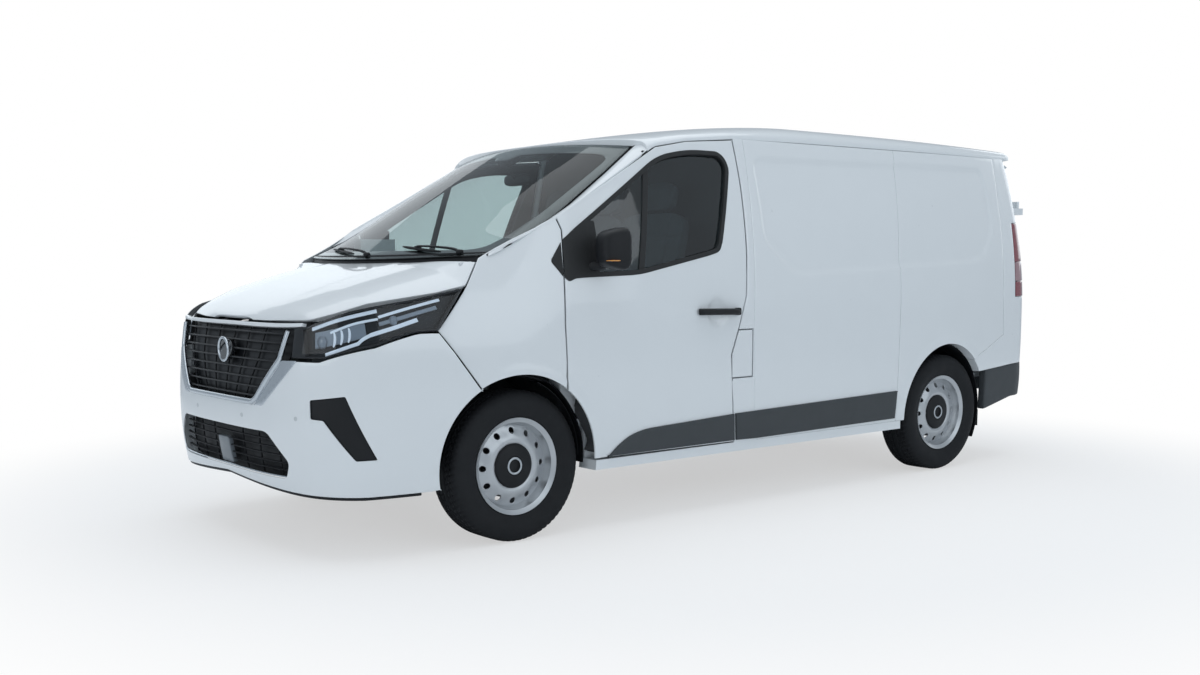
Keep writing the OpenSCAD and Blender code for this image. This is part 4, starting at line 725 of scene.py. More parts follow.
sensors = joined(*[disc_on_nose(x, z, 10, 0.8) for x, z in ((250, 600), (-250, 600), (640, 612), (-640, 612))])
sensor_paint = finish("sensor_cover", (0.55, 0.58, 0.60), 0.35, coat=0.4, grain=(900, 0.02), wear=0.05)
piece("parking_sensors", sensors, sensor_paint, "body")
lip_pts = np.array(edge_run(low_line, 0, u_low - 0.05, 30))
lip_path = nose_offset(-22)(lip_pts[:, 0], lip_pts[:, 1] - 4)
lip_full = np.concatenate([lip_path[::-1] * (-1, 1, 1), lip_path[1:]])
piece("bumper_lip", tube(lip_full, 16, 12, 0.6), black_plastic, "body")

# Lower intake: a black tray of slats behind the opening, a grey radar cover and a bright strip.
gloss_black = finish("gloss_black", (0.010, 0.011, 0.013), 0.16, coat=1.0, grain=(300, 0.02), wear=0.05)
bright_trim = finish("bright_trim", (0.60, 0.64, 0.68), 0.22, metal=1.0, grain=(600, 0.01), wear=0.06)
back_plate = panel(outline(both_halves(on_nose([[0, 336], [600, 336], [624, 420], [480, 562], [0, 562]])), 10),
                   [], nose_offset(-62), 60, 8, 2, AHEAD)
slats = [back_plate]
for z, half in ((382, 575), (414, 586), (446, 560), (478, 526), (510, 492)):
    u = nose_u(half, z, 0) * SHEET
    s = np.linspace(-u, u, 61)
    slats.append(tube(nose_offset(-30)(s, np.full(61, float(z))), 7, 10, 0.5))
for x in range(-480, 481, 160):
    if abs(x) > 70:
        top = np.interp(abs(x), [455, 590], [545, 420])
        u = nose_u(np.full(9, abs(x), float), np.linspace(352, top - 4, 9), 0) * SHEET * math.copysign(1, x)
        slats.append(tube(nose_offset(-44)(u, np.linspace(352, top - 4, 9)), 4, 8))
piece("lower_intake_grille", joined(*slats), black_plastic, "body")
radar = panel(outline(both_halves(on_nose([[0, 362], [62, 362], [60, 480], [0, 480]])), 4), [], nose_offset(-16),
              30, 20, 4, AHEAD)
radar_paint = finish("radar_cover", (0.16, 0.18, 0.20), 0.4, coat=0.3, grain=(700, 0.03), wear=0.05)
piece("radar_cover", radar, radar_paint, "body")
end = float(nose_u(575, 362, 0))
s = np.linspace(-end, end, 81) * SHEET
piece("intake_bright_strip", tube(nose_offset(-8)(s, np.full(81, 358.0)), 8, 12, 0.55), bright_trim, "body")

# ---------------------------------------------------------------- Grille
# A moulded black grille: a deep back plate, thin slats and uprights, a bright band down its sides and
# under it, a painted strip along its top and a plain ring and disc in the middle.
grille_half = np.array([[645, 360], [655, 370], [852, 549], [1000, 589]], float)


def grille_xz(inset, low=660, high=998):
    """The grille's outline in x and z, drawn in by an inset."""
    z = np.linspace(low + inset, high - inset, 24)
    x = np.interp(z, grille_half[:, 0], grille_half[:, 1]) - 1.25 * inset
    return [[0, z[0]]] + np.stack([x, z], 1).tolist() + [[0, z[-1]]]


back_grille = panel(outline(both_halves(on_nose(grille_xz(2, 652))), 1), [], nose_offset(-44), 50, 8, 2, AHEAD)
bars = [back_grille]
for z in np.linspace(690, 958, 8):
    half = np.interp(z, grille_half[:, 0], grille_half[:, 1]) - 20
    u = float(nose_u(half, z, 0)) * SHEET
    s = np.linspace(-u, u, 61)
    bars.append(tube(nose_offset(-16)(s, np.full(61, z)), 6.5, 10, 0.7))
for i in range(-3, 4):
    z = np.linspace(668, 985, 12)
    x = np.abs(i) / 3.5 * (np.interp(z, grille_half[:, 0], grille_half[:, 1]) - 10)
    u = nose_u(x, z, 0) * SHEET * (math.copysign(1, i) if i else 0)
    bars.append(tube(nose_offset(-34)(u, z), 4, 8))
grille_black = finish("grille_black", (0.006, 0.007, 0.009), 0.4, coat=0.08, grain=(700, 0.05), wear=0.06, gleam=0.25)
piece("grille_slats", joined(*bars), grille_black, "body", ["grille"])
side_xz = [[362, 652], [549, 850], [640, 852], [430, 652]]
side_trim = panel(outline(on_nose(side_xz), [3, 3, 14, 18], 12), [], nose_offset(2), 14, 8, 3, AHEAD)
pair("grille_side_trim", side_trim, bright_trim, "body")
frame_z = np.concatenate([np.linspace(972, 684, 26), np.full(1, 668)])
frame_x = np.append(np.interp(frame_z[:-1], grille_half[:, 0], grille_half[:, 1]) - 16, 352)
frame_s = nose_u(frame_x, frame_z, 0) * SHEET
run_s = np.concatenate([frame_s, np.linspace(frame_s[-1] - 14, -frame_s[-1] + 14, 40), -frame_s[::-1]])
run_z = np.concatenate([frame_z, np.full(40, 665.0), frame_z[::-1]])
band = nose_offset(0)(run_s, run_z)
piece("grille_bright_frame", tube(band, 13, 12, 0.8), bright_trim, "body")
top_u = np.linspace(-0.405, 0.405, 61)
strip_line = np.concatenate([np.stack([top_u * SHEET, 984 + 8 * np.abs(top_u / 0.405) ** 3], 1),
                             np.stack([top_u[::-1] * SHEET, 1001 + 6 * np.abs(top_u[::-1] / 0.405) ** 3], 1)])
piece("grille_top_strip", panel(outline(strip_line.tolist(), 1, 14), [], nose_offset(1), 14, 26, 3, AHEAD),
      white_paint, "body")
ring_centre = np.array([0, float(nose_point(0.0, 872.0)[1]) - 4, 872])
turn = np.radians(np.linspace(0, 360, 49))
emblem_ring = tube(ring_centre + 52 * np.stack([np.cos(turn), np.zeros(49), np.sin(turn)], 1), 7, 12)
emblem_disc = panel(outline(arc(0, 872, 46, 0, 350, 36), 0.2, 8), [], nose_offset(-2), 24, 20, 2, AHEAD)
piece("emblem_ring", emblem_ring, bright_trim, "body")
piece("emblem_disc", emblem_disc, gloss_black, "body")

# ---------------------------------------------------------------- Headlamps
# Long lamps that wrap round the corner: a clear cover over a black tray, with bright strips that glow faintly as
# painted daylight, three crescents and two lenses over grey reflectors. The black blade beside the grille belongs to
# the tray.
lamp_high = np.array([[0.355, 996], [0.42, 1004], [0.62, 1070], [0.83, 1114], [0.967, 1158]])


def lamp_sheet(a, b):
    """Sheet coordinates inside the lamp: a runs along it and b from its lower to its upper edge. Its
    lower edge follows the bumper, its upper edge the bonnet, and its end the wing."""
    a = np.asarray(a, float)
    u0, u1 = 0.368 + a * 0.518, 0.368 + a * 0.592
    table = np.array(top_line, float)
    low = np.maximum(np.interp(cubic(u0)[..., 0], table[:, 0], table[:, 1]) + 4, 860)
    high = np.interp(u1, lamp_high[:, 0], lamp_high[:, 1]) - 13
    b = np.asarray(b, float)
    return np.stack([(u0 + (u1 - u0) * b) * SHEET, low + (high - low) * b], -1)


along = np.linspace(0, 1, 40)
lamp_loop = outline(np.concatenate([lamp_sheet(along, 0 * along), lamp_sheet(along[::-1], 0 * along + 1)]).tolist(),
                    3, 12)
lamp_tray = panel(moved_in(lamp_loop, 9), [], nose_offset(-34), 20, 10, 2, AHEAD)
lamp_rim = panel(moved_in(lamp_loop, 2), [moved_in(lamp_loop, 10)], nose_offset(-2.5), 20, 24, 1.5, AHEAD)
blade_loop = outline(np.concatenate([lamp_sheet(np.linspace(0, 0.13, 6), np.full(6, 0.03)),
                                     lamp_sheet(np.linspace(0.07, 0, 4), np.full(4, 0.97))]).tolist(), 3, 12)
blade = panel(blade_loop, [], nose_offset(-1.2), 16, 26, 1.5, AHEAD)
pair("headlamp_tray", joined(lamp_tray, lamp_rim, blade), black_plastic, "body")
lens = glass("lamp_glass", (0.86, 0.89, 0.92), 0.03)
cover = panel(moved_in(lamp_loop, 2), [], nose_offset(0), 18, 3, 1, AHEAD)
piece("headlamp_cover_left", cover, lens, "body", ["headlamps"])
piece("headlamp_cover_right", mirrored(cover), lens, "body")
light_bar = finish("light_bar", (0.92, 0.95, 0.97), 0.25, coat=1.0, grain=(260, 0.2), wear=0.05)
# The unlit strips glow a little: painted light that stands in for daylight on the light guides behind the cover.
set_inputs(light_bar.node_tree.nodes["Principled BSDF"],
           {"Emission Color": (0.85, 0.92, 1, 1), "Emission Strength": 0.22})


def light_strip(points, width, back=10):
    """A flat light guide: a band of a width along a path through lamp positions, behind the cover."""
    p = curve([lamp_sheet(a, b) for a, b in points], 36)
    t = np.gradient(p, axis=0)
    n = np.stack([-t[:, 1], t[:, 0]], 1) / np.linalg.norm(t, axis=1)[:, None] * width / 2
    return panel(outline(np.concatenate([p + n, (p - n)[::-1]]).tolist(), 1, 12), [], nose_offset(-back), 12, 8, 2,
                 AHEAD)


strips = [light_strip([(0.14, 0.86), (0.34, 0.87), (0.60, 0.86)], 15),
          light_strip([(0.62, 0.70), (0.76, 0.76), (0.92, 0.80)], 12),
          light_strip([(0.30, 0.62), (0.46, 0.66), (0.62, 0.66)], 10),
          light_strip([(0.60, 0.30), (0.74, 0.33), (0.86, 0.37)], 17),
          light_strip([(0.29, 0.10), (0.42, 0.12), (0.54, 0.16)], 15),
          light_strip([(0.53, 0.15), (0.56, 0.24), (0.61, 0.31)], 15)]
for a in (0.33, 0.385, 0.44):
    t = np.radians(np.linspace(-75, 75, 16))
    centre = lamp_sheet(a, 0.42)
    r = 30
    s, z = centre[0] + 0.35 * r * np.cos(t), centre[1] + r * np.sin(t)
    strips.append(tube(nose_offset(-16)(s, z), 4.5 * np.cos(t * 0.9) + 1.5, 8))
pair("headlamp_light_bars", joined(*strips), light_bar, "body")
reflector = finish("lamp_reflector", (0.34, 0.37, 0.40), 0.4, metal=0.35, grain=(500, 0.15), wear=0.1)
bowls = [light_strip([(0.17, 0.50), (0.34, 0.48), (0.56, 0.46)], 66, 22),
         light_strip([(0.64, 0.52), (0.78, 0.55), (0.93, 0.60)], 16, 18)]
for a, b, r in ((0.23, 0.42, 30), (0.72, 0.52, 22)):
    c = lamp_sheet(np.array([a]), np.array([b]))[0]
    at = nose_offset(-24)(np.array([c[0]]), np.array([c[1]]))[0]
    bowls.append(dome(at - (r, 16, r), at + (r, 16, r), 2.4, 0.1, 28, 14))
pair("headlamp_lenses", joined(*bowls), reflector, "body")

# ---------------------------------------------------------------- Bonnet
# A pressed steel lid, painted, with a raised middle and a soft crease at either side of it. Its edge
# follows the grille, the lamps and the wings. The frame below it keeps its CAD form.
edge_table = np.array([[-2452, 0, 1008], [-2450, 150, 1008], [-2440, 330, 1008], [-2378, 618, 1014],
                       [-2300, 694, 1047], [-2180, 760, 1080], [-1900, 846, 1121], [-1767, 878, 1151],
                       [-1682, 842, 1262]], float)


def bonnet_top(y):
    """The bonnet's height along its middle: a 0.62 power of the way back."""
    return 1008 + 262 * (np.maximum(y + 2452, 0) / 770) ** 0.62


def bonnet_place(a, b):
    """The bonnet over the unit square: its edge line in plan, the middle's height, less a fifth power
    of the way out, and a crease either side of the raised middle."""
    q = 2 * a - 1
    side_y = -2446 + 752 * b
    edge = np.interp(side_y, edge_table[:, 0], edge_table[:, 1])
    edge_z = np.interp(side_y, [-2452, -2440, -2378, -2180, -1900, -1767, -1682],
                       [1008, 1008, 1014, 1080, 1121, 1151, 1262])
    x = q * (edge - 5 - 5 * smooth((b - 0.8) / 0.2))
    y = side_y - 105 * smooth((b - 0.72) / 0.28) * (1 - np.abs(q) ** 2.5)
    z = bonnet_top(y) - (bonnet_top(side_y) - edge_z) * np.abs(q) ** 5
    crease = 2.5 * (smooth((np.abs(x) - 330) / 60) - smooth((np.abs(x) - 470) / 160)) * smooth((b - 0.1) / 0.2)
    return np.stack([x, y, z + 2.5 - crease], 1)


piece("bonnet_skin", grid(bonnet_place, 90, 60, 8, 2, (0, -0.3, 1), 1.5), white_paint, "bonnet")

# ---------------------------------------------------------------- Front wings
# Painted steel pressings between the bonnet, the bumper and the door, cut round the arch and raised in
# a lip along it, as the doors are.
wing_line = [[-1738, 701], [-1934, 965], [-1770, 1152], [-1682, 1272], [-1560, 1330], [-1313, 1449], [-1291, 1390],
             [-1302, 1143], [-1306, 974], [-1297, 800], [-1300, 692]]
wing_loop = outline(wing_line + arc(*FRONT_ARCH, ARCH_R + 1, 54.5, 119, 30), 3)
wing = panel(moved_in(wing_loop, 4.6), [], lambda y, z: np.stack(
    [side_x(y, z) + arch_lip(y, z, FRONT_ARCH) * smooth((y + 1741) / 160), y, z], 1), 16, 5, 2)
pair("front_wing", wing, white_paint, "body", ["wings"])

# ---------------------------------------------------------------- Roof
# One pressed steel panel, painted, from the windscreen to the rear doors. It has a squarish crown and
# three shallow stiffening swages along it.
CANTRAIL = np.array([[-1345, 1430], [-655, 1797], [-445, 1834], [-122, 1858], [2300, 1862]], float)


def cantrail_z(y):
    """Height of the roof's side edge at y."""
    return np.interp(y, CANTRAIL[:, 0], CANTRAIL[:, 1])


def roof_mid_z(y):
    """Height of the roof's middle: 1971, less a 1.55 power ahead of its peak and a square behind it."""
    ahead = 129 * (np.maximum(440 - y, 0) / 1260) ** 1.55
    return 1971 - np.where(y < 440, ahead, 28 * (np.maximum(y - 440, 0) / 2000) ** 2)


def roof_place(a, b):
    """The roof over the unit square: a superellipse of power 3.2 across, from windscreen to rear doors."""
    s = np.sin(np.radians(88.4) * (2 * a - 1))
    front = -830 + 125 * (np.minimum(np.abs(s) * 800, 758) / 758) ** 2.2
    y = front + (2440 - 60 * s * s - front) * b
    c = cantrail_z(y)
    x = s * side_x(y, c)
    z = c - 12 + (roof_mid_z(y) - c + 12) * (1 - np.abs(s) ** 3.2) ** (1 / 3.2)
    swage = sum(smooth((46 - np.abs(x - at)) / 22) for at in (-430, 0, 430))
    return np.stack([x, y, z - 4.5 * swage * smooth((y - 120) / 120) * smooth((2230 - y) / 120)], 1)


piece("roof_skin", grid(roof_place, 110, 100, 30, 4, (0, 0, 1)), white_paint, "body", ["roof"])

# ---------------------------------------------------------------- Windscreen
# Laminated glass, bonded in, curved both ways. It has a black printed border on its inner side, and a
# mirror and a camera housing hang from its top.
def screen_place(a, b):
    """The windscreen over the unit square: half width and edge height from tables up the glass, bowed
    forward in the middle by a 2.2 power across and outwards by a sine up the glass."""
    q = 2 * a - 1
    h = np.interp(b, [0, 0.2, 0.45, 0.75, 1], [846, 860, 858, 812, 758])
    mid_z = 1262 + (float(roof_mid_z(-830)) - 2 - 1262) * b + 22 * np.sin(np.pi * b)
    edge_z = np.interp(b, [0, 0.22, 0.4, 1], [1281, 1358, 1450, 1803])
    bend = np.abs(q) ** 2.2
    mid_y, edge_y = -1790 + 960 * b, -1640 + 935 * b
    return np.stack([q * h, mid_y + (edge_y - mid_y) * bend, mid_z + (edge_z - mid_z) * bend], 1)


def screen_sheet(lift):
    """The windscreen for a flat sheet in thousandths of its width and height, lifted off the glass."""
    def place(s, t):
        """The sheet's surface, moved up and forward by the lift."""
        return screen_place(s / 1000, t / 1000) + (0, -0.55 * lift, 0.83 * lift)
    return place


clear_glass = glass("windscreen_glass", (0.78, 0.84, 0.84), 0.015)
piece("windscreen_pane", grid(lambda a, b: screen_place(0.012 + 0.976 * a, 0.015 + 0.97 * b), 60, 40, 5, 1,
                              (0, -0.5, 0.8)), clear_glass, "body", ["windscreen"])
frit_print = finish("printed_border", (0.008, 0.009, 0.010), 0.25, coat=0.6, grain=(1200, 0.01), wear=0.04)
border = outline([[10, 12], [990, 12], [990, 988], [10, 988]], [40, 40, 30, 30], 22)
view_field = outline([[58, 70], [942, 70], [958, 905], [560, 905], [545, 860], [455, 860], [440, 905], [42, 905]],
                     [60, 60, 70, 30, 20, 20, 30, 70], 20)
frit = panel(border, [view_field], screen_sheet(-1.5), 30, 7, 0.5, (0, -0.5, 0.8))
piece("windscreen_border", frit, frit_print, "body")
top_mid = screen_place(np.array([0.5]), np.array([0.86]))[0]
camera_box = turned_about(block(top_mid + (-70, 10, -40), top_mid + (70, 70, -4), 12), "X", 30, top_mid)
stem = tube(curve([top_mid + (0, 30, -20), top_mid + (0, 60, -60), top_mid + (0, 90, -92)], 10), 9, 12)
inner_mirror = dome(top_mid + (-122, 80, -128), top_mid + (122, 112, -62), 3.4, 0.1)
piece("inner_mirror", joined(camera_box, stem, inner_mirror), black_plastic, "body")

# Cowl under the glass, from the bonnet's rear edge back to the glass's lower edge.
def cowl_place(a, b):
    """The cowl: from the bonnet's rear edge back to the glass, dipping 18 between them by a sine."""
    front = bonnet_place(a, np.ones_like(a)) + np.stack([0 * a, 22 + 0 * a, -44 + 0 * a], 1)
    back = screen_place(0.014 + 0.972 * a, np.full_like(a, 0.035)) + (0, -6, 1)
    return front + (back - front) * b[:, None] - np.stack([0 * a, 0 * a, 18 * np.sin(np.pi * b)], 1)


piece("cowl_panel", grid(cowl_place, 80, 8, 8, 2, (0, -0.2, 1)), black_plastic, "body")

# Two wipers, parked low on the glass: steel arms from covered pivots, and rubber blades.
def wiper(a_pivot, a_tip, b_tip):
    """One wiper: pivot cap, tapering arm and a blade along the glass, each as a bar."""
    at = lambda a, b, up: screen_place(np.array([a]), np.array([b]))[0] + (0, -0.55 * up, 0.83 * up)
    pivot = at(a_pivot, 0.035, 4)
    arm = tube(curve([pivot, at(a_pivot + 0.12 * (a_tip - a_pivot), 0.045, 18),
                      at((a_pivot + a_tip) / 2, 0.75 * b_tip, 26),
                      at(a_tip - 0.03 * (a_tip - a_pivot), b_tip, 20)], 30), np.linspace(10, 6, 30), 12, 0.7)
    start, end = a_tip - 0.62 * (a_tip - a_pivot), a_tip + 0.42 * (a_tip - a_pivot)
    t = np.linspace(0, 1, 34)
    rail = screen_place(start + (end - start) * t, b_tip * (0.55 + 0.62 * t)) + (0, -4.4, 6.6)
    blade_bar = tube(rail, 7 * (1 - 0.5 * (2 * t - 1) ** 4), 10)
    cap = dome(pivot - (16, 16, 10), pivot + (16, 16, 14), 2.6, 0, 24, 12)
    clip = block(at(a_tip, b_tip, 8) - (16, 12, 9), at(a_tip, b_tip, 8) + (16, 12, 11), 5)
    return joined(arm, blade_bar, cap, clip)


piece("wipers", joined(wiper(0.90, 0.72, 0.075), wiper(0.50, 0.28, 0.075)), black_plastic, "body")

# ---------------------------------------------------------------- Windscreen posts
# Closed steel sections, painted, from the wing up to the roof, between the glass and the door. A black
# rubber seal fills the joint with the glass.
def post_place(a, b):
    """The post: from the glass's edge to the door's shut line, bowed out by a sine across."""
    b = 0.004 + 0.985 * b
    inner = screen_place(np.full_like(b, 0.998), b)
    y = np.interp(b, [0, 0.2, 1], [-1440, -1313, -655])
    z = np.where(b < 0.2, 1365 + 420 * b, cantrail_z(y))
    outer = np.stack([side_x(y, z), y, z], 1)
    low = smooth((0.22 - b) / 0.2)[:, None]
    return inner + (outer - inner) * a[:, None] + np.stack([0 * a, 0 * a, 9 * np.sin(np.pi * a)], 1) * (1 - 0.6 * low)


post = grid(lambda a, b: post_place(0.02 + 0.90 * a, b), 14, 70, 12, 3, (1, -0.5, 0.6))
pair("windscreen_post", post, white_paint, "body", ["windscreen_pillars"])
filler = grid(lambda a, b: post_place(0.06 * a, b) + (0, -0.5, 0.6), 4, 60, 9, 1, (1, -0.5, 0.6))
pair("windscreen_side_seal", filler, rubber, "body")

# ---------------------------------------------------------------- Wheels
# Pressed steel wheels, silver, with twelve holes and a black centre cap; radial tyres with a block
# tread. Each is drawn about the wheel's own axle, its outside facing +X, and then put in its place.
WHEEL_R = 343


def swept_faces(rows, around):
    """Faces of a closed section of rows points swept right round: each point's ring has around points."""
    k, n = np.arange(rows)[:, None] * around, np.arange(around)
    nk, m = np.roll(k, -1, 0), np.roll(n, -1)
    return np.stack([k + n, nk + n, nk + m, k + m], -1).reshape(-1, 4)


def lathe(profile, around=96):
    """A solid of revolution about the X axis through the origin, from a closed profile of [x, radius]."""
    p = np.asarray(profile, float)
    a = np.radians(np.arange(around) * 360 / around)
    verts = np.stack([np.repeat(p[:, :1], around, 1), p[:, 1:] * np.cos(a), p[:, 1:] * np.sin(a)], -1).reshape(-1, 3)
    return verts, swept_faces(len(p), around)[:, [0, 3, 2, 1]].tolist()


def tyre_shape():
    """The tyre: its section swept round, with four grooves and slanted cuts sunk into the tread."""
    side = np.array([[79, 206], [80, 221], [88, 225], [102, 257], [107.5, 284], [104, 311], [94, 329], [84, 338],
                     [74, 342]], float)
    across = np.linspace(70, -70, 43)
    crown = np.stack([across, WHEEL_R - 1.6 * (across / 70) ** 2 * 0.6], 1)
    inner = [[-79, 206], [-60, 206], [60, 206]]
    section = np.concatenate([side, crown, side[::-1] * (-1, 1), inner[1:]])
    around = 288
    p = section[:, None, :]
    a = np.radians(np.arange(around) * 360 / around)[None, :]
    w = np.abs(section[:, 0])[:, None] * np.ones_like(a)
    tread = (section[:, 1] > 330)[:, None] & (w < 96)
    ribs = sum(np.exp(-((section[:, 0][:, None] - at) / 3.1) ** 4) for at in (-46, -16, 16, 46)) * np.ones_like(a)
    slant = (np.degrees(a) + 0.07 * section[:, 0][:, None]) % 5
    cuts = (slant < 1.0) * ((w > 50) | ((w > 20) & (w < 42)))
    depth = 7.5 * np.clip(ribs, 0, 1) + 5.5 * cuts * (ribs < 0.3)
    r = p[..., 1] - np.where(tread, depth, 0)
    x = section[:, 0][:, None] * np.ones_like(a)
    verts = np.stack([x, r * np.cos(a), r * np.sin(a)], -1).reshape(-1, 3)
    return verts, swept_faces(len(section), around).tolist()


def disc_x(r):
    """Depth of the wheel's disc at a radius: a raised nave, a crease and a dished rim joint."""
    return np.interp(r, [0, 60, 92, 104, 120, 140, 156, 176, 190], [44, 44, 46, 60, 63, 55, 46, 38, 36])


def disc_place(y, z):
    """The wheel disc's surface over its own plane."""
    r = np.hypot(y, z)
    around = np.degrees(np.arctan2(z, y))
    near = np.abs((around + 15) % 30 - 15) * math.pi / 180 * 164
    lip = 3.0 * smooth((26 - np.hypot(near, r - 160)) / 9)
    return np.stack([disc_x(r) + lip, y, z], 1)


hole_loops = [outline(arc(160 * math.cos(math.radians(30 * i)), 160 * math.sin(math.radians(30 * i)), 14.5, 0, 345, 24),
                      0.1, 6) for i in range(12)]
wheel_disc = panel(outline(arc(0, 0, 189, 0, 357, 120), 0.1, 12), hole_loops, disc_place, 13, 6, 1.5)
barrel_line = [[88, 220], [82, 220], [78, 205], [52, 204], [38, 190], [-38, 183], [-52, 204], [-77, 205], [-82, 220],
               [-88, 220], [-88, 214], [-80, 199], [-54, 198], [-40, 177], [36, 184], [50, 198], [76, 199], [84, 214]]
barrel = lathe(barrel_line[::-1], 120)
wheel_silver = finish("wheel_silver", (0.52, 0.54, 0.56), 0.34, metal=0.75, coat=0.3, grain=(500, 0.03), mottle=0.03,
                      wear=0.08)
cap_line = [[60, 0], [61, 40], [69, 44], [70, 50], [67, 56], [66, 88], [59, 101], [50, 103], [50, 0]]
cap = lathe([[x, max(r, 0.01)] for x, r in cap_line][::-1], 72)
cap_ring = lathe([[70.5, 30], [72.5, 32], [72.5, 38], [70.5, 40]][::-1], 60)
brake_line = [[4, 148], [0, 150], [-12, 150], [-16, 148], [-16, 60], [4, 60]]
brake = lathe(brake_line[::-1], 90)
hub_line = [[46, 60], [4, 66], [4, 20], [46, 20]]
hub = lathe(hub_line[::-1], 40)
tyre_rubber = finish("tyre_rubber", (0.013, 0.014, 0.016), 0.7, grain=(1100, 0.12), mottle=0.12, wear=0.1, gleam=0.25)
steel = finish("bare_steel", (0.28, 0.28, 0.29), 0.38, metal=0.9, grain=(700, 0.06), mottle=0.08, wear=0.12)
bright_ring = finish("cap_ring", (0.50, 0.53, 0.56), 0.3, metal=0.9, grain=(500, 0.01), wear=0.05)
tyre_form = tyre_shape()
for end, x, y in (("front", 808, -1526), ("rear", 814, 1572)):
    for side, sign in (("left", 1), ("right", -1)):
        def put(shape, x=x, y=y, sign=sign):
            """The shape moved to its axle, and mirrored on the right."""
            moved = (np.asarray(shape[0]) + (x, y, WHEEL_R), shape[1])
            return moved if sign > 0 else mirrored(moved)
        name, body = f"{end}_{side}", f"wheel_{end}_{side}"
        piece(f"tyre_{name}_tread", put(tyre_form), tyre_rubber, body, [f"tyre_{name}"], 35)
        piece(f"wheel_{name}_rim", put(joined(barrel, wheel_disc)), wheel_silver, body, [f"rim_{name}"])
        piece(f"wheel_{name}_cap", put(cap), black_plastic, body)
        piece(f"wheel_{name}_cap_ring", put(cap_ring), bright_ring, body)
        piece(f"wheel_{name}_brake", put(joined(brake, hub)), steel, body)


# ---------------------------------------------------------------- Wheel arch linings
# Moulded black shells over the tyres, from the arch's edge inwards. At the front, the strip behind the
# tyre lies deeper than the one ahead of it.
def arch_band(centre, x0, x1, r, start, stop, depth=4):
    """A strip of a drum about a wheel arch's centre: from x0 to x1, between two angles in degrees."""
    t = np.radians(np.linspace(start, stop, 60))
    cy, cz = centre
    n, k = 60, 8
    s, x = np.meshgrid(t, np.linspace(x0, x1, k), indexing="ij")
    outer, inner = (np.stack([x, cy + q * np.cos(s), cz + q * np.sin(s)], -1).reshape(-1, 3) for q in (r, r - depth))
    i, j = np.meshgrid(np.arange(n - 1), np.arange(k - 1), indexing="ij")
    q = np.stack([i * k + j, i * k + j + 1, (i + 1) * k + j + 1, (i + 1) * k + j], -1).reshape(-1, 4)
    edge = np.concatenate([np.arange(k), np.arange(1, n) * k + k - 1, (n - 1) * k + np.arange(k - 2, -1, -1),
                           np.arange(n - 2, 0, -1) * k])
    nxt = np.roll(edge, -1)
    walls = np.stack([edge, nxt, nxt + n * k, edge + n * k], -1)
    return np.concatenate([outer, inner]), q[:, ::-1].tolist() + (q + n * k).tolist() + walls.tolist()


front_lining = joined(arch_band(FRONT_ARCH, 610, 806, 397, 183, 2), arch_band(FRONT_ARCH, 804, 900, 399, 180, 66),
                      arch_band(FRONT_ARCH, 804, 862, 390, 66, 0))
rear_lining = joined(arch_band(REAR_ARCH, 620, 800, 397, 183, -30), arch_band(REAR_ARCH, 798, 908, 399, 180, -28))
pair("front_arch_lining", front_lining, black_plastic, "body")
pair("rear_arch_lining", rear_lining, black_plastic, "body")

# ---------------------------------------------------------------- Rear corners and tail lamps
# Painted corner pressings wrapped round to the rear doors, with tall lamps let into them: red plastic
# above and below a paler reversing lamp, on a black base.
CORNER_R, CORNER_RUN = 140, 218


def tail_edge_y(z):
    """How far back the body's rear edge stands at height z: a 1.2 power above 700."""
    return 2440 - 45 * (np.maximum(z - 700, 0) / 1100) ** 1.2


def corner_place(v, z):
    """The rear corner: v is y along the side, and past its end the length round a quarter circle."""
    end = tail_edge_y(z) - CORNER_R
    turn = np.maximum(v - end, 0) / CORNER_R
    side = side_x(np.minimum(v, end), z)
    return np.stack([side - CORNER_R + CORNER_R * np.cos(turn), np.minimum(v, end) + CORNER_R * np.sin(turn), z], 1)


corner_z = np.array([606, 700, 850, 1000, 1180, 1360, 1540, 1700, 1850], float)
back_edge = np.stack([tail_edge_y(corner_z) - CORNER_R + CORNER_RUN, corner_z], 1)
end_at = lambda z: float(tail_edge_y(z)) - CORNER_R + CORNER_RUN
corner_line = [[1816, 653], [2129, 785], [2110, 1031], [2144, 1619], [2177, 1858]] + [[end_at(1876), 1874]] + \
    back_edge[::-1][:3].tolist() + [[end_at(1468), 1468], [2262, 1468], [2252, 1011], [end_at(1011), 1011]] + \
    back_edge[:3][::-1].tolist() + [[1865, 582]]
corner_loop = outline(corner_line, 4)
corner = panel(moved_in(corner_loop, 2), [], corner_place, 18, 34, 2, lift=0.9)
pair("rear_corner", corner, white_paint, "body")
lamp_red = finish("lamp_red", (0.22, 0.035, 0.05), 0.12, coat=1.0, grain=(240, 0.5), mottle=0.15, wear=0.04)
lamp_white = finish("lamp_white", (0.34, 0.20, 0.22), 0.12, coat=1.0, grain=(240, 0.5), wear=0.04)


def lamp_part(z0, z1, inset=0):
    """A stretch of the tail lamp between two heights."""
    loop = outline([[2259 + inset, z0], [end_at(z0) - inset, z0], [end_at((z0 + z1) / 2) - inset, (z0 + z1) / 2],
                    [end_at(z1) - inset, z1], [2264 + inset, z1]], 8, 12)
    return panel(loop, [], lambda v, z: corner_place(v, z) * (1.0035, 1.0008, 1), 14, 30, 4)


pair("tail_lamp", joined(lamp_part(1016, 1108), lamp_part(1230, 1463)), lamp_red, "body", ["tail_lamps"])
pair("tail_lamp_reversing", lamp_part(1111, 1227), lamp_white, "body")
lamp_bezel = panel(outline([[2256, 1013], [end_at(1013), 1013], [end_at(1240), 1240], [end_at(1466), 1466],
                            [2262, 1466]], 4), [], lambda v, z: corner_place(v, z) - (6, 0, 0), 20, 20, 1)
pair("tail_lamp_base", lamp_bezel, gloss_black, "body")

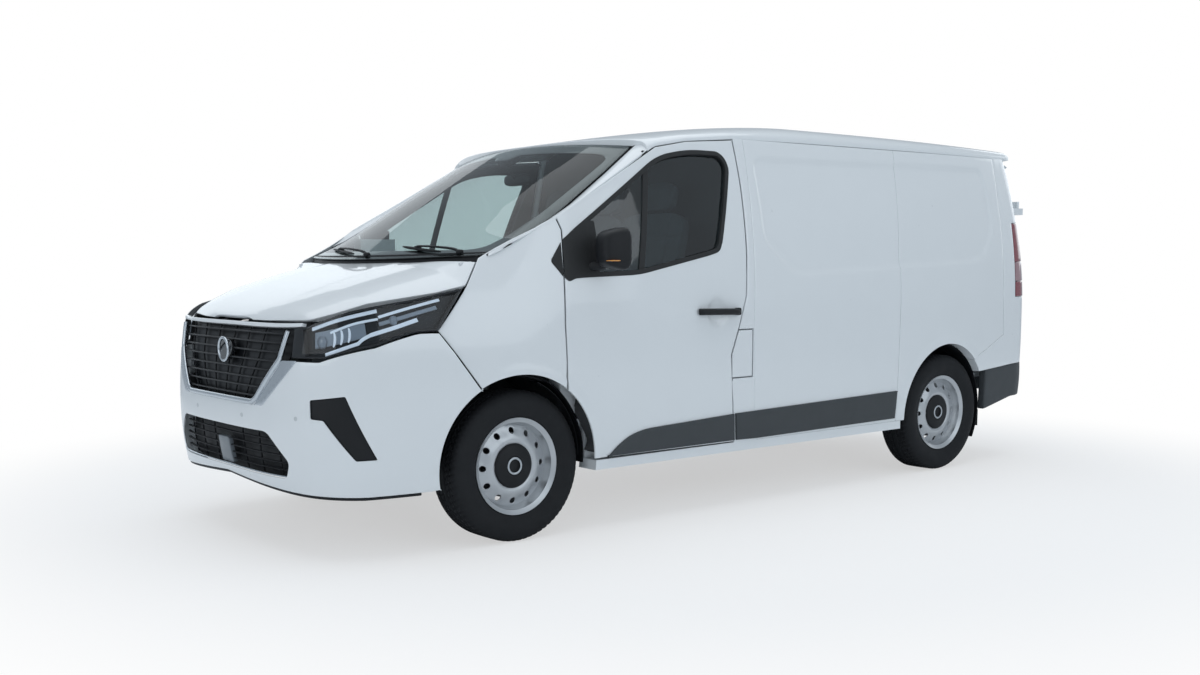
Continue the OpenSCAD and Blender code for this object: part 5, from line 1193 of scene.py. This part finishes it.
# ---------------------------------------------------------------- Rear bumper
# A grained plastic bumper wrapped round both corners, with a ribbed step pad on top and a red
# reflector at either side.
def rear_bumper_place(a, b):
    """The rear bumper: straight across, a 250 quarter circle at each corner, then forward to the arch."""
    q = 2 * a - 1
    m = np.abs(q)
    edge = float(side_x(2290, 500)) - 258
    t = np.radians(np.clip((m - 0.45) / 0.3, 0, 1) * 90)
    run = np.clip((m - 0.75) / 0.25, 0, 1)
    x = np.where(m < 0.45, edge * m / 0.45, edge + 250 * np.sin(t) + run * 30)
    y = np.where(m < 0.75, 2290 + 250 * np.cos(t), 2290 - 430 * run)
    low = 400 - 78 * run
    z = low + (592 - 24 * run - low) * b
    belly = 7 * np.sin(np.pi * b) * (1 - run)
    return np.stack([x * np.sign(q), y - 8 * (1 - b) + belly - 4, z], 1)


end_part = 0.5 - 0.5 * 0.93
rear_bumper = grid(lambda a, b: rear_bumper_place(1 - (end_part + (1 - 2 * end_part) * a), b), 120, 14, 44, 9,
                   (0, 1, 0))
step_pad = block((-520, 2424, 586), (520, 2520, 597), 4)
ribs = [block((x, 2432, 592), (x + 14, 2512, 600), 3, 2, 12) for x in range(-500, 500, 36)]
piece("rear_bumper_step", joined(rear_bumper, step_pad, *ribs), grey_plastic, "body", ["rear_bumper"])
pair("rear_reflector", block((560, 2500, 470), (680, 2541, 494), 5), lamp_red, "body")

# ---------------------------------------------------------------- Rear doors
# Two side-hung doors: each skin has a large shallow recess above and a smaller one below, and a black
# card inside. The left one carries the blank plate and the handle. Their hinges keep their CAD form.
def rear_top(x):
    """Upper edge of a rear door, under the roof's back edge."""
    y = 2380.0
    c = float(cantrail_z(y))
    s = np.minimum(0.9985, np.abs(x) / float(side_x(y, c)))
    mid = float(roof_mid_z(y))
    return c - 12 + (mid - c + 12) * (1 - s ** 3.2) ** (1 / 3.2) - 50


def tail_x(z):
    """Half width of the flat rear face at height z."""
    return side_x(tail_edge_y(z) - CORNER_R, z) - CORNER_R


rear_z = np.linspace(628, 1860, 14)
rear_top_x = np.linspace(760, 8, 12)
rear_door_line = [[8, 628]] + np.stack([tail_x(rear_z) - 10, rear_z], 1)[:-1].tolist() + \
    np.stack([rear_top_x * 0.985, rear_top(rear_top_x) - 2], 1).tolist()
rear_window = outline([[90, 1230], [640, 1230], [600, 1740], [90, 1760]], [60, 60, 70, 60])
rear_low = outline([[110, 760], [690, 760], [690, 1120], [110, 1120]], 70)


def rear_place(x, z):
    """The rear face: bowed back by 30 in the middle, pressed in by 7 inside its two recesses."""
    y = tail_edge_y(z) + 30 * (1 - (x / tail_x(z)) ** 2)
    flat = np.stack([x, z], 1)
    for loop in (rear_window, rear_low):
        near = distance(flat, loop) * np.where(inside(flat, loop), 1, -1)
        y = y - 7 * smooth((near + 9) / 18)
    return np.stack([x, y + 8.5, z], 1)


rear_loop = moved_in(outline(rear_door_line, 5), 1)
rear_skin = panel(rear_loop, [], rear_place, 18, 7, 2.5, (0, 1, 0))
pair("rear_door_skin", rear_skin, white_paint, "rear_door_*")
plate_holder = panel(outline([[150, 640], [660, 640], [660, 745], [150, 745]], 10), [],
                     lambda x, z: rear_place(x, z) + (0, 2, 0), 30, 6, 2, (0, 1, 0))
blank_plate = finish("blank_plate", (0.55, 0.56, 0.56), 0.45, grain=(400, 0.03), wear=0.05)
piece("rear_plate_blank", plate_holder, blank_plate, "rear_door_left")
rear_handle = joined(block((14, 2470, 935), (92, 2502, 1035), 9), block((30, 2486, 950), (76, 2512, 1020), 9))
piece("rear_door_handle", rear_handle, black_plastic, "rear_door_left")
card = panel(outline([[40, 660], [690, 660], [640, 1180], [600, 1180], [40, 1180]], 20), [],
             lambda x, z: np.stack([x, tail_edge_y(z) - 62 + 30 * (1 - (x / tail_x(z)) ** 2), z], 1), 60, 4, 2, AHEAD)
pair("rear_door_card", card, door_card, "rear_door_*")
stop_lamp = block((-120, 2427, 1894), (120, 2447, 1912), 6)
piece("high_stop_lamp", stop_lamp, lamp_red, "body")

# ---------------------------------------------------------------- Pillar between door and load space
# A painted pressing over the pillar's CAD form. On the left it is in two parts, above and below the
# hinged fuel flap, which has a skin of its own.
pillar_line = [[-119, 1856], [-122, 1630], [-137, 1313], [-157, 1075], [-212, 911], [-259, 784], [-238, 487],
               [-228, 340], [-67, 340], [-91, 501], [-109, 905], [-85, 1440], [-51, 1856]]
flap_loop = outline([[-214, 903], [-259, 784], [-255, 669], [-115, 669], [-117, 903]], 7)
pillar_loop = moved_in(outline(pillar_line, 4), 2)
high_pillar = outline(pillar_line[:5] + [[-150, 925], [-112, 925]] + pillar_line[11:], 4)
low_pillar = outline([[-258, 652], [-238, 487], [-228, 340], [-67, 340], [-91, 501], [-97, 652]], 4)
piece("pillar_skin_left", joined(*[panel(moved_in(loop, 2), [], side_plain, 20, 6, 2, lift=0.8)
                                   for loop in (high_pillar, low_pillar)]), white_paint, "body")
piece("pillar_skin_right", mirrored(panel(pillar_loop, [], side_plain, 20, 6, 2, lift=0.8)), white_paint, "body")
piece("fuel_flap_skin", panel(moved_in(flap_loop, 2.5), [], side_plain, 16, 2.5, 1.2, lift=0.8), white_paint,
      "fuel_flap")

# ---------------------------------------------------------------- Dashboard and steering wheel
# Moulded grained plastic: a broad top pad, a hood over the dials, a centre stack with a screen, a shelf
# and four vents. The steering wheel is a padded rim on three spokes, tilted to its column.
def drawn_out(profile, x0, x1, r):
    """A bar of one section, given in y and z, drawn out along X, with rounded ends."""
    loop = outline(profile, 26, 22)
    steps = np.radians(np.linspace(0, 90, 6))
    xs = np.concatenate([x0 + r * (1 - np.sin(steps)), np.linspace(x0 + r, x1 - r, 24)[1:-1],
                         x1 - r * (1 - np.sin(steps[::-1]))])
    inset = np.concatenate([r * (1 - np.cos(steps)), np.zeros(22), r * (1 - np.cos(steps[::-1]))])
    order = np.argsort(xs)
    xs, inset = xs[order], inset[order]
    rings = [np.column_stack([np.full(len(loop), x), moved_in(loop, i)]) for x, i in zip(xs, inset)]
    mids = np.array([rings[0].mean(0), rings[-1].mean(0)])
    return np.concatenate(rings + [mids]), ring_faces(len(rings), len(loop), True)


cab_plastic = finish("cab_plastic", (0.030, 0.032, 0.035), 0.68, grain=(1000, 0.12), mottle=0.08, wear=0.08)
dash_main = drawn_out([[-1410, 1052], [-1404, 1140], [-1240, 1160], [-1122, 1116], [-1092, 1010], [-1132, 904],
                       [-1262, 846], [-1400, 900]], -772, 772, 24)
hood = dome((215, -1250, 1096), (565, -1062, 1212), 3.0, 0.2, 60, 30)
stack = turned_about(block((-110, -1150, 880), (150, -1074, 1120), 18), "X", -10, (0, -1110, 1000))
shelf = block((-690, -1180, 985), (-200, -1084, 1010), 10)
COLUMN_TILT = 28
column_way = np.array([0, math.cos(math.radians(COLUMN_TILT)), math.sin(math.radians(COLUMN_TILT))])
wheel_mid = np.array([390, -985, 1110.0])
column = tube(np.stack([wheel_mid - column_way * t for t in (46, 100, 160, 230)]), [34, 40, 44, 46], 24)
piece("dashboard_moulding", joined(dash_main, hood, stack, shelf, column), cab_plastic, "body",
      ["dashboard"])
screen = turned_about(block((-82, -1078, 985), (122, -1068, 1098), 4), "X", -10, (0, -1110, 1000))
dials = turned_about(dome((255, -1085, 1108), (525, -1060, 1188), 3.4, 0, 40, 16), "X", -18, (390, -1070, 1150))
piece("dashboard_screens", joined(screen, dials), gloss_black, "body")
vents = []
for cx, cz in ((-640, 1076), (-170, 1084), (200, 1060), (700, 1076)):
    vents += [block((cx - 54, -1112, cz - 26 + 13 * i), (cx + 54, -1084, cz - 20 + 13 * i), 2.5, 2, 12)
              for i in range(4)]
    vents.append(tube(np.array([[cx + 60 * math.cos(t), -1088, cz + 32 * math.sin(t)]
                                for t in np.linspace(0, 2 * math.pi, 33)]), 4, 8))
piece("dashboard_vents", joined(*vents), black_plastic, "body")

tilt = np.array(Matrix.Rotation(math.radians(90 + COLUMN_TILT), 3, "X"))


def at_wheel(shape):
    """The shape, drawn flat about the origin, tilted and moved to the steering column's end."""
    return np.asarray(shape[0]) @ tilt.T + wheel_mid, shape[1]


RIM_R, GRIP_R = 178, 15
rim_turn = np.radians(np.arange(96) * 3.75)[:, None]
small = np.radians(np.arange(18) * 20)[None]
reach = RIM_R + GRIP_R * np.cos(small) * 0.92
torus = (np.stack([reach * np.cos(rim_turn), reach * np.sin(rim_turn), GRIP_R * np.sin(small) + 0 * rim_turn],
                  -1).reshape(-1, 3), swept_faces(96, 18).tolist())
pad_disc = dome((-70, -62, 2), (70, 58, 38), 3.0, 0, 40, 20)
spokes = [tube(curve([(50 * math.cos(t), 50 * math.sin(t), 18), (110 * math.cos(t), 110 * math.sin(t), 12),
                      (170 * math.cos(t), 170 * math.sin(t), 3)], 16), np.linspace(20, 12, 16), 14, 0.45)
          for t in np.radians([2, 178, 270])]
boss = tube(np.array([[0, 0, 20], [0, 0, 40], [0, 0, 90], [0, 0, 138]], float), [30, 26, 22, 11], 20)
piece("steering_wheel_moulding", at_wheel(joined(torus, pad_disc, *spokes, boss)), cab_plastic, "steering_wheel",
      ["steering_wheel"])

# ---------------------------------------------------------------- Seats
# Foam cushions in woven cloth, a single driver's seat and a double bench: crowned forms with sewn
# channels and piping, and head restraints.
def pad(low, high, power, channels, crown=10, columns=160, rows=72):
    """A stuffed cushion: a superellipsoid of a power, its front and back faces crowned, with channels
    sunk along lines of constant x or z, each a bell curve 7 wide."""
    v, faces = dome(low, high, power, 0, columns, rows)
    low, high = np.asarray(low, float), np.asarray(high, float)
    mid, half = (low + high) / 2, (high - low) / 2
    d = (v - mid) / half
    thin = int(np.argmin(half))
    face = smooth((np.abs(d[:, thin]) - 0.5) / 0.4) * np.sign(d[:, thin])
    level = [1 - np.clip(np.abs(d[:, k]), 0, 1) ** 2 for k in range(3) if k != thin]
    swell = crown * level[0] * level[1]
    groove = sum(7 * np.exp(-((v[:, axis] - at) / 7) ** 2) for axis, at in channels) if channels else 0
    v = v.copy()
    v[:, thin] += face * (swell - crown - groove)
    return v, faces


seat_cloth = finish("seat_cloth", (0.085, 0.092, 0.100), 0.9, grain=(1700, 0.35), mottle=0.18, wear=0.04)
piping = finish("seat_piping", (0.11, 0.12, 0.13), 0.8, grain=(1500, 0.15), wear=0.05)
seat_front, seat_back = -860, -400
for name, mid_x, width in (("driver", 400, 500), ("bench", -240, 860)):
    x0, x1 = mid_x - width / 2, mid_x + width / 2
    splits = [mid_x] if name == "bench" else []
    bolsters = [x0 + 92, x1 - 92]
    cushion = pad((x0, seat_front, 822), (x1, seat_back, 956), 6, [(0, x) for x in splits + bolsters] + [(1, -640)])
    centre = np.array([mid_x, -436, 958.0])
    back = turned_about(pad((x0, -436, 958), (x1, -340, 1518), 6, [(0, x) for x in splits + bolsters]
                            + [(2, 1180), (2, 1390)]), "X", -14, centre)
    hem_t = np.linspace(0, 2 * math.pi, 121)
    square = lambda c: np.sign(c) * np.abs(c) ** (1 / 3.4)
    hem = tube(np.stack([mid_x + (width / 2 - 10) * square(np.cos(hem_t)),
                         (seat_front + seat_back) / 2 + ((seat_back - seat_front) / 2 - 10) * square(np.sin(hem_t)),
                         np.full(121, 926.0)], 1), 5, 8)
    for part, shape, fill in (("cushion", cushion, 0.8), ("back", back, 0.8)):
        made = piece(f"seat_{name}_{part}", shape, seat_cloth, "body", ["seats"] if part == "cushion"
                     and name == "driver" else [], 60)
    piece(f"seat_{name}_piping", hem, piping, "body")
for name, x in (("driver", 400), ("bench_left", -25), ("bench_right", -455)):
    centre = np.array([x, -436, 958.0])
    rest = turned_about(pad((x - 120, -424, 1534), (x + 120, -346, 1686), 3.6, [], 6, 96, 48), "X", -14, centre)
    piece(f"head_restraint_{name}", rest, seat_cloth, "body", [], 60)

# ---------------------------------------------------------------- Sliding door's handle and rail
# A black pull handle with its lock cap near the sliding door's front edge, and the black channel
# behind the door in which its middle roller runs.
px = float(side_x(30, 1003))
slide_grip = tube(curve([[px + 2, -44, 1003], [px + 22, -22, 1003], [px + 29, 78, 1003], [px + 22, 178, 1003],
                         [px + 2, 200, 1003]], 40), 17, 16, 0.95)
slide_cap = block((px + 2, 182, 984), (px + 28, 214, 1020), 9)
piece("sliding_door_handle", mirrored(joined(slide_grip, slide_cap)), black_plastic, "body")
rail_loop = outline([[1150, 1003], [1150, 1029], [2076, 1029], [2076, 1003]], 5)
rail_slot = outline([[1162, 1011], [1162, 1021], [2064, 1021], [2064, 1011]], 3)
rail = joined(panel(rail_loop, [rail_slot], side_plain, 24, 6, 2, lift=5),
              panel(rail_loop, [], side_plain, 24, 3, 1, lift=1.5))
piece("sliding_door_rail", mirrored(rail), black_plastic, "body")

# ---------------------------------------------------------------- Underside and frames
# Pressed and cast parts that show only below, through gaps or with a door open keep their CAD form.
# Each takes the finish of its slot.
cad_finish = {
    "white_paint": white_paint, "black_plastic": black_plastic, "grey_plastic": grey_plastic,
    "gloss_black": gloss_black, "bare_steel": steel, "cab_plastic": cab_plastic, "tyre_rubber": tyre_rubber,
    "wheel_silver": wheel_silver, "seat_cloth": seat_cloth, "tinted_glass": tinted, "clear_glass": clear_glass,
    "chassis_paint": finish("chassis_paint", (0.030, 0.032, 0.034), 0.55, grain=(260, 0.25), mottle=0.15, wear=0.12),
    "grey_metal": finish("grey_metal", (0.22, 0.23, 0.24), 0.5, metal=0.7, grain=(380, 0.3), mottle=0.1, wear=0.12),
    "lamp_red": lamp_red, "lamp_lens": lens}
for subpart in frame["record"]["subparts"]:
    slots = frame["nodes"][subpart["node"]].data.materials
    if subpart["material_slot"] in cad_finish and slots:
        slots[0] = cad_finish[subpart["material_slot"]]
